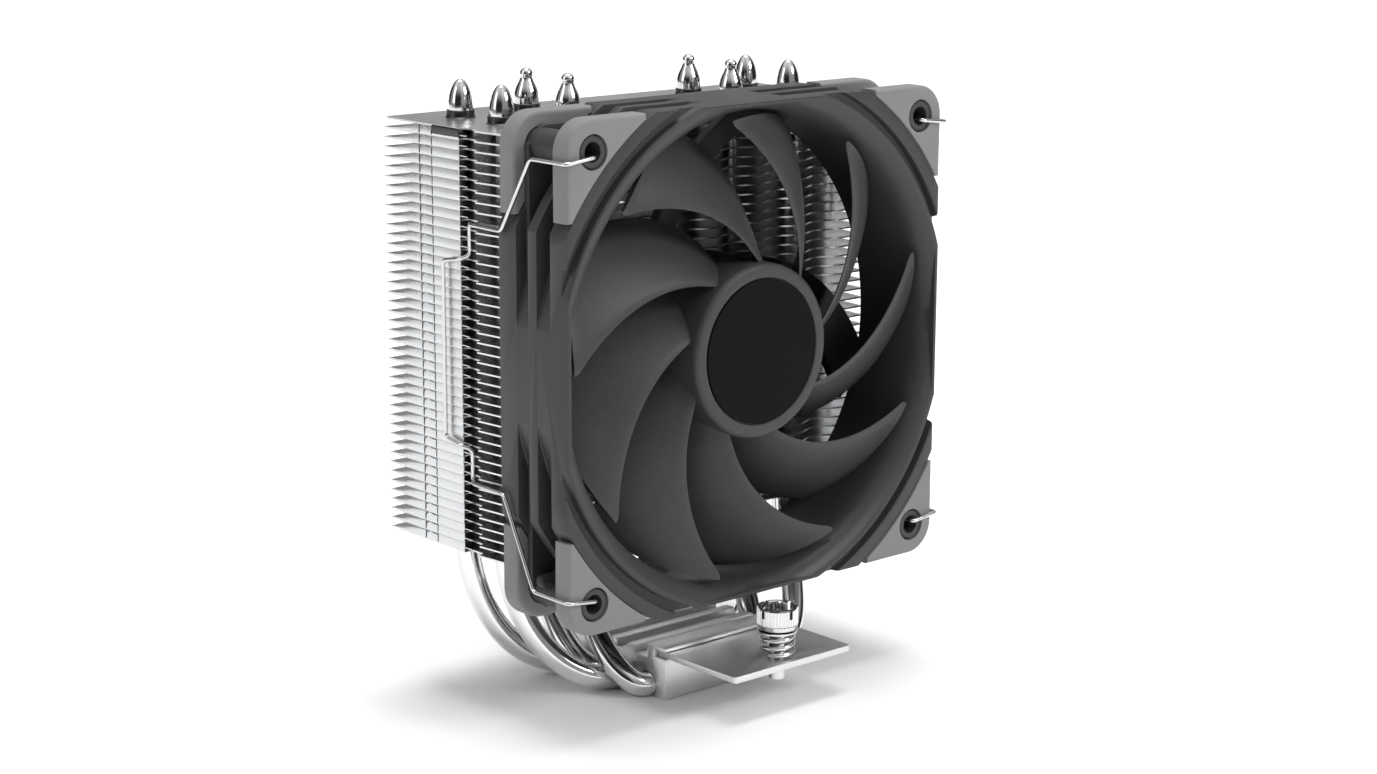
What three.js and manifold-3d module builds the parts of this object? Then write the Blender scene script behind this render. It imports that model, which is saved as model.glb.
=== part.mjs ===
// CPU tower cooler: base, four heat pipes, fin stack, 120 mm fan, wire clips and spring screws.
// Part frame: millimetres, +Z up, origin at the centre of the base's contact face, fan on the -Y side.
import * as THREE from 'three';
import { mergeVertices } from 'three/addons/utils/BufferGeometryUtils.js';
import Module from 'manifold-3d';

const wasm = await Module();
wasm.setup();

const GAP = 0.3;                    // clearance left between pieces that touch
const DEG = Math.PI / 180;
const X_AXIS = new THREE.Vector3(1, 0, 0);
const Y_AXIS = new THREE.Vector3(0, 1, 0);
const Z_AXIS = new THREE.Vector3(0, 0, 1);

// Base: one extruded block with pipe grooves below and ridges and plate slots above.
const BASE = {
  half: 20, ridgeTop: 11.3, grooveFloor: 9.6, lipTop: 13.1,
  ridgePitch: 7, ridgeWidth: 3, lipInner: 13.2, slotDepth: 4.2,
};

// Mounting plates and the spring screws that pass through them.
const PLATE = { halfX: 19.3, bottom: 10.4, thick: 1.6, front: 44.6, tongue: 16.2, holeRadius: 2.35 };
const SCREW = {
  y: 38.5, headRadius: 5.05, headBottom: 19, headTop: 24.7, slotDepth: 2.6, slotWidth: 1.4,
  shankRadius: 2.0, tip: 6, chamfer: 0.5, rim: 1.3,
};
const SPRING = { radius: 3.9, wire: 0.6, turns: 3 };
const WASHER = { inner: 2.4, outer: 4.9, thick: 0.5 };
const RETAINER = { inner: 1.5, outer: 3.4, thick: 0.7, mouth: 42 };

// Heat pipes: the four straight runs lie side by side in the base and end in two rows of tips.
const PIPE = {
  radius: 3, baseZ: 2.7, basePitch: 9, baseExit: 20.6, legStart: 40, tubeTop: 145.4,
  outerX: 46.4, innerX: 25.5, frontRow: 8.7, backRow: 24.7,
  coneTop: 150.2, nibTop: 151.6, sides: 8, bendSteps: 7,
  outerReach: 17, outerRise: 24, innerReach: 9, innerRise: 20,
};

// Fin stack: 22 pairs of fins, each pair one tray with its folded side tabs.
const FIN = {
  halfX: 60, front: -7.2, rear: 37.5, top: 141.1, pitch: 2.36, thick: 0.4, pairs: 22,
  tabFrom: 7.5, tabTo: 18, tabThick: 0.8, grooveFrom: 3, grooveDepth: 2.2, bumpDepth: 0.5,
  mouthDepth: 1.4, cornerCut: 1.2, holeHalf: 3.4, holeTurn: 20,
};

// Fan, in a frame of its own: +Z is the intake side, the origin is its centre.
const FAN = {
  half: 60, depth: 25, centreY: -20, centreZ: 86.6, boreRadius: 57.5, barrelRadius: 60.2,
  holeSpacing: 105, holeRadius: 2.35, flange: 6, rib: 2.6, ribZ: -0.3, cornerRadius: 7.5,
  postRadius: 3.85, postInset: 0.3, postPlate: 1.6, plateInset: 2.9, plateCorner: 5,
};
const PAD = { thick: 5.7, leg: 36.9, arcRadius: 69.2 };
const MOTOR = {
  plateRadius: 21.6, plateThick: 1.8, tubeOuter: 5.2, tubeInner: 3.6, tubeTop: 6.5, tubeFloor: 1.6,
  sleeveRear: 2.8, coreRadius: 8.4, coreHalf: 5.2, poleEnd: 13.2, poleHalf: 3.4,
  shoeInner: 12.8, shoeOuter: 15.2, shoeAngle: 36, boardRadius: 15.8, boardThick: 1.2,
};
const STRUT = {
  count: 4, width: 6.2, thick: 3, lift: 0.6, steps: 4, startRadius: 20, startAngle: 50,
  bendRadius: 45.1, bendAngle: 19.4, endRadius: 58.6, endAngle: -18.3,
};
const ROTOR = {
  hubRadius: 21.35, hubFront: 12.2, hubRear: -8.4, wall: 1.5, face: 2.2, discRadius: 17.6,
  discRecess: 0.6, bossRadius: 3.4, bossDepth: 3.5, shoulder: 1.2, shaftRadius: 1.5, shaftRear: 2.2,
  yokeWall: 1.2, yokeLift: 0.8, magnetWall: 1.8, magnetLift: 2.2, magnetInset: 1.5,
  tipRadius: 56.4, blades: 9, phase: 5.5,
};
const BLADE = {
  rootRadius: 20.4, rootFront: 9.5, tipFront: 10, rootRear: -5, tipRear: -3.6,
  chord: 33.5, sweep: 54.5, sweepPower: 0.84, thick: 1.5, camber: 1.6,
};

// Wire clips: one bent wire on each side, held in the fan's front holes.
const CLIP = {
  wire: 0.5, sideX: 61, frontZ: 13.3, holeDepth: 3.2, cornerZ: 50.5, bendY: -20.5, armY: -9.5,
  armZ: 31, sillX: 60.6, sillY: 2.6, hookX: 59.1, hookY: 4.8, hookZ: 23.4, exitY: 6.6,
  handleY: 12.8, handleZ: 21.4, bendRadius: 0.9, lift: 1.7,
};

const ALUMINIUM = { color: 0xc9cbcd, roughness: 0.38, metalness: 1 };
const NICKEL = { color: 0xd9d9d8, roughness: 0.14, metalness: 1 };
const STEEL = { color: 0x9b9c9e, roughness: 0.3, metalness: 1 };
const FRAME_PLASTIC = { color: 0x4a4a4b, roughness: 0.55, metalness: 0 };
const BLADE_PLASTIC = { color: 0x3f3f40, roughness: 0.6, metalness: 0 };
const PAD_RUBBER = { color: 0x86868a, roughness: 0.8, metalness: 0 };
const BLACK_LABEL = { color: 0x0c0c0d, roughness: 0.25, metalness: 0 };
const BRASS = { color: 0xb08d57, roughness: 0.4, metalness: 1 };
const COPPER = { color: 0xb36a3c, roughness: 0.4, metalness: 1 };
const BOARD = { color: 0x1f5a35, roughness: 0.6, metalness: 0 };

const cooler = new THREE.Group();

// ---------------------------------------------------------------- solids

// Keeps only positions, merges shared vertices and drops triangles of no area.
function weld(geometry) {
  const bare = geometry.clone();
  bare.deleteAttribute('normal');
  bare.deleteAttribute('uv');
  const welded = mergeVertices(bare, 1e-4);
  const index = welded.index.array;
  const kept = [];
  for (let i = 0; i < index.length; i += 3) {
    const [a, b, c] = [index[i], index[i + 1], index[i + 2]];
    if (a !== b && b !== c && c !== a) {
      kept.push(a, b, c);
    }
  }
  welded.setIndex(kept);
  return welded;
}

function toSolid(geometry) {
  const welded = weld(geometry);
  return new wasm.Manifold(new wasm.Mesh({
    numProp: 3,
    vertProperties: new Float32Array(welded.attributes.position.array),
    triVerts: new Uint32Array(welded.index.array),
  }));
}

function toGeometry(solid) {
  const mesh = solid.getMesh();
  const geometry = new THREE.BufferGeometry();
  geometry.setAttribute('position', new THREE.BufferAttribute(mesh.vertProperties, 3));
  geometry.setIndex(new THREE.BufferAttribute(mesh.triVerts, 1));
  return geometry;
}

function join(...geometries) {
  return geometries.map(toSolid).reduce((all, next) => all.add(next));
}

function cut(solid, ...geometries) {
  return geometries.map(toSolid).reduce((rest, tool) => rest.subtract(tool), solid);
}

function addPiece(group, name, shape, finish, position = [0, 0, 0]) {
  const geometry = shape.isBufferGeometry ? weld(shape) : toGeometry(shape);
  const mesh = new THREE.Mesh(geometry, new THREE.MeshStandardMaterial(finish));
  mesh.name = name;
  mesh.position.set(...position);
  group.add(mesh);
  return mesh;
}

// ---------------------------------------------------------------- shape helpers

// A box from its low corner to its high corner.
function block(low, high) {
  const size = high.map((value, i) => value - low[i]);
  const box = new THREE.BoxGeometry(...size);
  return box.translate(...low.map((value, i) => value + size[i] / 2));
}

function outline(points) {
  return new THREE.Shape(points.map(([x, y]) => new THREE.Vector2(x, y)));
}

function addHole(shape, x, y, radius, sides, turn = 0) {
  const hole = new THREE.Path();
  for (let i = 0; i < sides; i += 1) {
    const angle = turn + (i / sides) * 2 * Math.PI;
    const point = [x + radius * Math.cos(angle), y + radius * Math.sin(angle)];
    if (i === 0) {
      hole.moveTo(...point);
    } else {
      hole.lineTo(...point);
    }
  }
  hole.closePath();
  shape.holes.push(hole);
}

// Extrudes an outline drawn in XY from z = low to z = high.
function slab(shape, low, high, curveSegments = 5) {
  const options = { depth: high - low, bevelEnabled: false, curveSegments };
  return new THREE.ExtrudeGeometry(shape, options).translate(0, 0, low);
}

// Extrudes an outline drawn in YZ along X, centred on x = 0.
function barAlongX(shape, length, curveSegments) {
  const bar = slab(shape, -length / 2, length / 2, curveSegments);
  return bar.applyMatrix4(new THREE.Matrix4().makeBasis(Y_AXIS, Z_AXIS, X_AXIS));
}

// Turns a profile of [radius, z] points about the Z axis.
function turned(profile, sides) {
  const points = profile.map(([radius, z]) => new THREE.Vector2(radius, z));
  return new THREE.LatheGeometry(points, sides).rotateX(Math.PI / 2);
}

function rod(radius, low, high, sides = 16) {
  return turned([[0, low], [radius, low], [radius, high], [0, high]], sides);
}

function ring(inner, outer, low, high, sides = 20) {
  const profile = [[inner, low], [outer, low], [outer, high], [inner, high], [inner, low]];
  return turned(profile, sides);
}

// A chain of curves with a chosen number of steps on each, so that straight runs stay coarse.
class SteppedPath extends THREE.Curve {
  constructor(pieces) {
    super();
    this.pieces = pieces;
    this.steps = pieces.reduce((sum, piece) => sum + piece.steps, 0);
  }

  locate(t) {
    let position = t * this.steps;
    for (const piece of this.pieces) {
      if (position <= piece.steps + 1e-9) {
        return [piece.curve, Math.min(position / piece.steps, 1)];
      }
      position -= piece.steps;
    }
    return [this.pieces.at(-1).curve, 1];
  }

  getPoint(t, target) {
    const [curve, u] = this.locate(t);
    return curve.getPoint(u, target);
  }

  getPointAt(t, target) {
    return this.getPoint(t, target);
  }

  getTangent(t, target) {
    const [curve, u] = this.locate(t);
    return curve.getTangent(u, target);
  }

  getTangentAt(t, target) {
    return this.getTangent(t, target);
  }
}

function tube(path, radius, sides) {
  const section = new THREE.Shape();
  for (let i = 0; i < sides; i += 1) {
    const angle = (i / sides) * 2 * Math.PI;
    const point = [radius * Math.cos(angle), radius * Math.sin(angle)];
    if (i === 0) {
      section.moveTo(...point);
    } else {
      section.lineTo(...point);
    }
  }
  section.closePath();
  return new THREE.ExtrudeGeometry(section, { steps: path.steps, extrudePath: path });
}

// A wire through the given points, with every inner corner rounded to the bend radius.
function bentPath(points, bendRadius, bendSteps) {
  const corners = points.map((point) => new THREE.Vector3(...point));
  const pieces = [];
  let start = corners[0];
  for (let i = 1; i < corners.length - 1; i += 1) {
    const toCorner = corners[i].clone().sub(corners[i - 1]).normalize();
    const fromCorner = corners[i + 1].clone().sub(corners[i]).normalize();
    const arcStart = corners[i].clone().addScaledVector(toCorner, -bendRadius);
    const arcEnd = corners[i].clone().addScaledVector(fromCorner, bendRadius);
    pieces.push({ curve: new THREE.LineCurve3(start, arcStart), steps: 1 });
    const arc = new THREE.QuadraticBezierCurve3(arcStart, corners[i], arcEnd);
    pieces.push({ curve: arc, steps: bendSteps });
    start = arcEnd;
  }
  pieces.push({ curve: new THREE.LineCurve3(start, corners.at(-1)), steps: 1 });
  return new SteppedPath(pieces);
}

// ---------------------------------------------------------------- base and mounting plates

// The base's section in YZ: four round grooves below; lips, plate slots and ridges above.
function baseSection() {
  const section = new THREE.Shape();
  const grooveRadius = PIPE.radius + GAP;
  const mouth = Math.sqrt(grooveRadius ** 2 - PIPE.baseZ ** 2);
  const mouthAngle = Math.atan2(-PIPE.baseZ, mouth);
  section.moveTo(-BASE.half, 0);
  for (const step of [-1.5, -0.5, 0.5, 1.5]) {
    const y = step * PIPE.basePitch;
    section.lineTo(y - mouth, 0);
    section.absarc(y, PIPE.baseZ, grooveRadius, -Math.PI - mouthAngle, mouthAngle, true);
  }
  section.lineTo(BASE.half, 0);
  const slotEnd = BASE.half - BASE.slotDepth;
  const side = [
    [BASE.half, PLATE.bottom - GAP], [slotEnd, PLATE.bottom - GAP],
    [slotEnd, PLATE.bottom + PLATE.thick + GAP], [BASE.half, PLATE.bottom + PLATE.thick + GAP],
    [BASE.half, BASE.lipTop], [BASE.lipInner, BASE.lipTop], [BASE.lipInner, BASE.grooveFloor],
  ];
  side.forEach(([y, z]) => section.lineTo(y, z));
  for (const step of [1, 0, -1]) {
    const right = step * BASE.ridgePitch + BASE.ridgeWidth / 2;
    const left = right - BASE.ridgeWidth;
    section.lineTo(right, BASE.grooveFloor);
    section.lineTo(right, BASE.ridgeTop);
    section.lineTo(left, BASE.ridgeTop);
    section.lineTo(left, BASE.grooveFloor);
  }
  side.reverse().forEach(([y, z]) => section.lineTo(-y, z));
  section.closePath();
  return section;
}

function addBase() {
  addPiece(cooler, 'base_block', barAlongX(baseSection(), 2 * BASE.half, 5), ALUMINIUM);
}

function addMountingPlate(name, side) {
  const near = side * PLATE.tongue;
  const far = side * PLATE.front;
  const plate = outline([
    [-PLATE.halfX, near], [PLATE.halfX, near], [PLATE.halfX, far], [-PLATE.halfX, far],
  ]);
  addHole(plate, 0, side * SCREW.y, PLATE.holeRadius, 16);
  const solid = slab(plate, PLATE.bottom, PLATE.bottom + PLATE.thick);
  addPiece(cooler, name, solid, STEEL);
}

// ---------------------------------------------------------------- spring screws

function screwHead() {
  const { headRadius, headBottom, headTop, slotDepth, slotWidth, shankRadius, tip } = SCREW;
  const { chamfer, rim } = SCREW;
  const grooveZ = PLATE.bottom - GAP - RETAINER.thick;
  const grooveRadius = RETAINER.inner - GAP;
  const grooveTop = PLATE.bottom - GAP + 0.1;
  const profile = [
    [0, tip], [shankRadius - chamfer, tip], [shankRadius, tip + chamfer],
    [shankRadius, grooveZ - GAP], [grooveRadius, grooveZ - GAP], [grooveRadius, grooveTop],
    [shankRadius, grooveTop], [shankRadius, headBottom], [headRadius - chamfer, headBottom],
    [headRadius, headBottom + chamfer], [headRadius, headTop - chamfer],
    [headRadius - chamfer, headTop], [headRadius - rim, headTop],
    [headRadius - rim, headTop - slotDepth], [0, headTop - slotDepth],
  ];
  const slots = [0, 90].map((angle) => {
    const low = [-headRadius - 1, -slotWidth / 2, headTop - slotDepth];
    const high = [headRadius + 1, slotWidth / 2, headTop + 1];
    return block(low, high).rotateZ(angle * DEG);
  });
  return cut(toSolid(turned(profile, 16)), ...slots);
}

function coilSpring(low, high) {
  const coils = new THREE.Curve();
  const rise = high - low - 2 * SPRING.wire;
  coils.steps = SPRING.turns * 9;
  coils.getPoint = (t, target = new THREE.Vector3()) => {
    const angle = t * SPRING.turns * 2 * Math.PI;
    const z = low + SPRING.wire + t * rise;
    return target.set(SPRING.radius * Math.cos(angle), SPRING.radius * Math.sin(angle), z);
  };
  return tube(coils, SPRING.wire, 6);
}

// A spring clip open on one side, which faces the plate's free end.
function retainingClip(side, low, high) {
  const start = (RETAINER.mouth + side * 90) * DEG;
  const end = (360 - RETAINER.mouth + side * 90) * DEG;
  const clip = new THREE.Shape();
  clip.absarc(0, 0, RETAINER.outer, start, end, false);
  clip.absarc(0, 0, RETAINER.inner, end, start, true);
  clip.closePath();
  return slab(clip, low, high, 6);
}

function addSpringScrew(end, side) {
  const place = [0, side * SCREW.y, 0];
  const plateTop = PLATE.bottom + PLATE.thick;
  const washerTop = SCREW.headBottom - GAP;
  const washerBottom = washerTop - WASHER.thick;
  const retainerTop = PLATE.bottom - GAP;
  addPiece(cooler, `${end}_screw`, screwHead(), NICKEL, place);
  const washer = ring(WASHER.inner, WASHER.outer, washerBottom, washerTop, 16);
  addPiece(cooler, `${end}_screw_washer`, washer, NICKEL, place);
  const spring = coilSpring(plateTop + GAP, washerBottom - GAP);
  addPiece(cooler, `${end}_screw_spring`, spring, NICKEL, place);
  const retainer = retainingClip(side, retainerTop - RETAINER.thick, retainerTop);
  addPiece(cooler, `${end}_screw_retainer`, retainer, STEEL, place);
}

// ---------------------------------------------------------------- heat pipes

// One leg: out of the base along X, round the bend and up to just below its tip.
function pipeLeg(side, baseY, tipX, tipY) {
  const outer = tipX > PIPE.innerX;
  const reach = outer ? PIPE.outerReach : PIPE.innerReach;
  const rise = outer ? PIPE.outerRise : PIPE.innerRise;
  const exit = new THREE.Vector3(side * PIPE.baseExit, baseY, PIPE.baseZ);
  const foot = new THREE.Vector3(side * tipX, tipY, PIPE.legStart);
  const bend = new THREE.CubicBezierCurve3(
    exit,
    exit.clone().add(new THREE.Vector3(side * reach, 0, 0)),
    foot.clone().sub(new THREE.Vector3(0, 0, rise)),
    foot,
  );
  const top = foot.clone().setZ(PIPE.tubeTop);
  return { exit, bend, leg: new THREE.LineCurve3(foot, top) };
}

function reversed(curve) {
  if (curve.isLineCurve3) {
    return new THREE.LineCurve3(curve.v2, curve.v1);
  }
  return new THREE.CubicBezierCurve3(curve.v3, curve.v2, curve.v1, curve.v0);
}

// A pipe's sealed end: a smooth cone, or a cone with a crimped nib.
function pipeTip(x, y, hasNib) {
  const low = PIPE.tubeTop - 0.6;
  const cone = [
    [0, low], [PIPE.radius - 0.15, low], [PIPE.radius - 0.15, PIPE.tubeTop + 0.4],
    [2.3, PIPE.tubeTop + 2.4],
  ];
  const end = hasNib
    ? [[1.1, PIPE.tubeTop + 3.8], [1.1, PIPE.nibTop], [0, PIPE.nibTop]]
    : [[1.4, PIPE.coneTop - 0.5], [0, PIPE.coneTop]];
  return turned([...cone, ...end], PIPE.sides).translate(x, y, 0);
}

function addHeatPipe(number, baseY, left, right) {
  const legs = [
    pipeLeg(-1, baseY, left.x, left.y),
    pipeLeg(1, baseY, right.x, right.y),
  ];
  const path = new SteppedPath([
    { curve: reversed(legs[0].leg), steps: 1 },
    { curve: reversed(legs[0].bend), steps: PIPE.bendSteps },
    { curve: new THREE.LineCurve3(legs[0].exit, legs[1].exit), steps: 1 },
    { curve: legs[1].bend, steps: PIPE.bendSteps },
    { curve: legs[1].leg, steps: 1 },
  ]);
  const tips = [
    pipeTip(-left.x, left.y, left.x === PIPE.innerX),
    pipeTip(right.x, right.y, right.x === PIPE.innerX),
  ];
  const reach = PIPE.outerX + 10;
  const belowContact = block([-reach, -reach, -5], [reach, reach, 0]);
  const pipe = cut(join(tube(path, PIPE.radius, PIPE.sides), ...tips), belowContact);
  addPiece(cooler, `heat_pipe_${number}`, pipe, NICKEL);
}

function addHeatPipes() {
  const { outerX, innerX, frontRow, backRow, basePitch } = PIPE;
  const runs = [
    [{ x: innerX, y: frontRow }, { x: outerX, y: frontRow }],
    [{ x: outerX, y: frontRow }, { x: innerX, y: frontRow }],
    [{ x: innerX, y: backRow }, { x: outerX, y: backRow }],
    [{ x: outerX, y: backRow }, { x: innerX, y: backRow }],
  ];
  runs.forEach(([left, right], i) => {
    addHeatPipe(i + 1, (i - 1.5) * basePitch, left, right);
  });
}

// ---------------------------------------------------------------- fin stack

// A fin's outline, with the clip groove and the shallow mouth towards the fan on both sides.
function finOutline() {
  const { halfX, front, rear, tabFrom, grooveFrom, grooveDepth, bumpDepth, mouthDepth } = FIN;
  const right = [
    [halfX - mouthDepth, front], [halfX - bumpDepth, grooveFrom - 1],
    [halfX - grooveDepth, grooveFrom], [halfX - grooveDepth, tabFrom], [halfX, tabFrom],
    [halfX, rear - FIN.cornerCut], [halfX - FIN.cornerCut, rear],
  ];
  const left = right.map(([x, y]) => [-x, y]).reverse();
  const shape = outline([...right, ...left]);
  for (const x of [-PIPE.outerX, -PIPE.innerX, PIPE.innerX, PIPE.outerX]) {
    for (const y of [PIPE.frontRow, PIPE.backRow]) {
      addHole(shape, x, y, FIN.holeHalf * Math.SQRT2, 4, FIN.holeTurn * DEG);
    }
  }
  return shape;
}

function addFinStack() {
  const plateThick = 2 * FIN.thick;
  const pairDepth = FIN.pitch + FIN.thick;
  const tabs = [-1, 1].map((side) => {
    const xs = [side * (FIN.halfX - FIN.tabThick), side * FIN.halfX].sort((a, b) => a - b);
    return block([xs[0], FIN.tabFrom, -pairDepth], [xs[1], FIN.tabTo, -plateThick / 2]);
  });
  const tray = toGeometry(join(slab(finOutline(), -plateThick, 0), ...tabs));
  for (let i = 0; i < FIN.pairs; i += 1) {
    const z = FIN.top - (FIN.pairs - 1 - i) * 2 * FIN.pitch;
    const name = `fin_pair_${String(i + 1).padStart(2, '0')}`;
    addPiece(cooler, name, tray, ALUMINIUM, [0, 0, z]);
  }
}

// ---------------------------------------------------------------- fan frame and pads

const fan = new THREE.Group();
fan.rotation.x = Math.PI / 2;
fan.position.set(0, FAN.centreY, FAN.centreZ);
cooler.add(fan);

// The fan's square outline with its corners cut back along an arc about the fan axis.
function cutCornerSquare(radius) {
  const reach = Math.sqrt(radius ** 2 - FAN.half ** 2);
  const angle = Math.atan2(reach, FAN.half);
  const shape = new THREE.Shape();
  shape.moveTo(FAN.half, -reach);
  for (let quarter = 0; quarter < 4; quarter += 1) {
    const start = quarter * 90 * DEG + angle;
    const end = (quarter + 1) * 90 * DEG - angle;
    shape.lineTo(radius * Math.cos(start), radius * Math.sin(start));
    shape.absarc(0, 0, radius, start, end, false);
  }
  shape.closePath();
  return shape;
}

function roundedSquare(half, radius) {
  const shape = new THREE.Shape();
  const inner = half - radius;
  const centres = [[inner, inner], [-inner, inner], [-inner, -inner], [inner, -inner]];
  shape.moveTo(half, inner);
  centres.forEach(([x, y], i) => {
    shape.absarc(x, y, radius, i * 90 * DEG, (i + 1) * 90 * DEG, false);
  });
  shape.closePath();
  return shape;
}

function polar(radius, angle) {
  return new THREE.Vector2(radius * Math.cos(angle * DEG), radius * Math.sin(angle * DEG));
}

// A strut curves clockwise, seen from the intake, from the motor plate to the barrel.
function strut(index) {
  const arc = new THREE.QuadraticBezierCurve(
    polar(STRUT.startRadius, STRUT.startAngle),
    polar(STRUT.bendRadius, STRUT.bendAngle),
    polar(STRUT.endRadius, STRUT.endAngle),
  );
  const middle = arc.getPoints(STRUT.steps);
  const offset = middle.map((point, i) => {
    const tangent = arc.getTangent(i / STRUT.steps);
    return new THREE.Vector2(-tangent.y, tangent.x).multiplyScalar(STRUT.width / 2);
  });
  const left = middle.map((point, i) => point.clone().add(offset[i]));
  const right = middle.map((point, i) => point.clone().sub(offset[i])).reverse();
  const rear = -FAN.depth / 2;
  const turn = (index * 360) / STRUT.count;
  const bar = slab(new THREE.Shape([...right, ...left]), rear + STRUT.lift, rear + STRUT.lift + STRUT.thick);
  return bar.rotateZ(turn * DEG);
}

function addFanFrame() {
  const half = FAN.depth / 2;
  const shoulder = half - FAN.flange;
  const flange = cutCornerSquare(PAD.arcRadius - GAP);
  const plate = roundedSquare(FAN.half - FAN.plateInset, FAN.plateCorner);
  const hole = FAN.holeSpacing / 2;
  const postHalf = half - FAN.postInset;
  const corners = [[1, 1], [-1, 1], [-1, -1], [1, -1]];
  const posts = corners.map(([x, y]) => (
    rod(FAN.postRadius, -postHalf, postHalf, 12).translate(x * hole, y * hole, 0)
  ));
  const holes = corners.map(([x, y]) => (
    rod(FAN.holeRadius, -half - 1, half + 1, 8).translate(x * hole, y * hole, 0)
  ));
  const barrel = toSolid(rod(FAN.barrelRadius, -half, half, 36))
    .intersect(toSolid(block([-FAN.half, -FAN.half, -half], [FAN.half, FAN.half, half])));
  const rib = slab(cutCornerSquare(PAD.arcRadius - GAP), FAN.ribZ - FAN.rib / 2, FAN.ribZ + FAN.rib / 2);
  const body = join(
    slab(flange, shoulder, half, 4), slab(flange, -half, -shoulder, 4), rib,
    slab(plate, shoulder - FAN.postPlate, shoulder, 3), slab(plate, -shoulder, FAN.postPlate - shoulder, 3),
    ...posts,
  ).add(barrel);
  const bored = cut(body, rod(FAN.boreRadius, -half - 1, half + 1, 36), ...holes);
  const rear = -half;
  const struts = Array.from({ length: STRUT.count }, (unused, i) => strut(i));
  const plateRear = rear + STRUT.lift;
  const motorPlate = rod(MOTOR.plateRadius, plateRear, plateRear + MOTOR.plateThick, 24);
  const motorTube = rod(MOTOR.tubeOuter, plateRear, MOTOR.tubeTop, 16);
  const spider = join(motorPlate, motorTube, ...struts);
  const tubeBore = rod(MOTOR.tubeInner, rear + MOTOR.tubeFloor, MOTOR.tubeTop + 1, 16);
  addPiece(fan, 'fan_frame', cut(bored.add(spider), tubeBore), FRAME_PLASTIC);
}

// A corner pad: two straight legs, a rounded outer corner and an arc along the intake ring.
function padOutline() {
  const { half, cornerRadius, holeSpacing, postRadius } = FAN;
  const end = Math.asin(PAD.leg / PAD.arcRadius);
  const shape = new THREE.Shape();
  const arcX = PAD.arcRadius * Math.cos(end);
  shape.moveTo(half, PAD.leg);
  shape.absarc(half - cornerRadius, half - cornerRadius, cornerRadius, 0, 90 * DEG, false);
  shape.lineTo(PAD.leg, half);
  shape.lineTo(PAD.leg, arcX);
  shape.absarc(0, 0, PAD.arcRadius, 90 * DEG - end, end, true);
  shape.closePath();
  addHole(shape, holeSpacing / 2, holeSpacing / 2, postRadius + GAP, 12, 15 * DEG);
  return shape;
}

function addCornerPads() {
  const half = FAN.depth / 2;
  const front = slab(padOutline(), half - PAD.thick, half, 4);
  const rear = slab(padOutline(), -half, PAD.thick - half, 4);
  const corners = ['top_right', 'top_left', 'bottom_left', 'bottom_right'];
  corners.forEach((corner, i) => {
    for (const [end, pad] of [['front', front], ['rear', rear]]) {
      const piece = addPiece(fan, `${end}_pad_${corner}`, pad, PAD_RUBBER);
      piece.rotation.z = i * 90 * DEG;
    }
  });
}

// ---------------------------------------------------------------- impeller and motor

// A blade: a flat grid bent into shape. u runs along the chord, v from root to tip.
function blade() {
  const grid = new THREE.BoxGeometry(1, 1, 1, 4, 4, 1);
  const position = grid.attributes.position;
  for (let i = 0; i < position.count; i += 1) {
    const u = position.getX(i) + 0.5;
    const v = position.getY(i) + 0.5;
    const side = position.getZ(i);
    const radius = THREE.MathUtils.lerp(BLADE.rootRadius, ROTOR.tipRadius, v);
    const front = THREE.MathUtils.lerp(BLADE.rootFront, BLADE.tipFront, v);
    const rear = THREE.MathUtils.lerp(BLADE.rootRear, BLADE.tipRear, v);
    const angle = (BLADE.sweep * v ** BLADE.sweepPower - BLADE.chord * u) * DEG;
    const bow = BLADE.camber * Math.sin(Math.PI * u);
    const thickness = BLADE.thick * (0.35 + 0.65 * Math.sin(Math.PI * Math.min(u + 0.15, 1)));
    const z = front + (rear - front) * u + bow + side * thickness * 1.3;
    position.setXYZ(i, radius * Math.cos(angle), radius * Math.sin(angle), z);
  }
  return grid;
}

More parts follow.
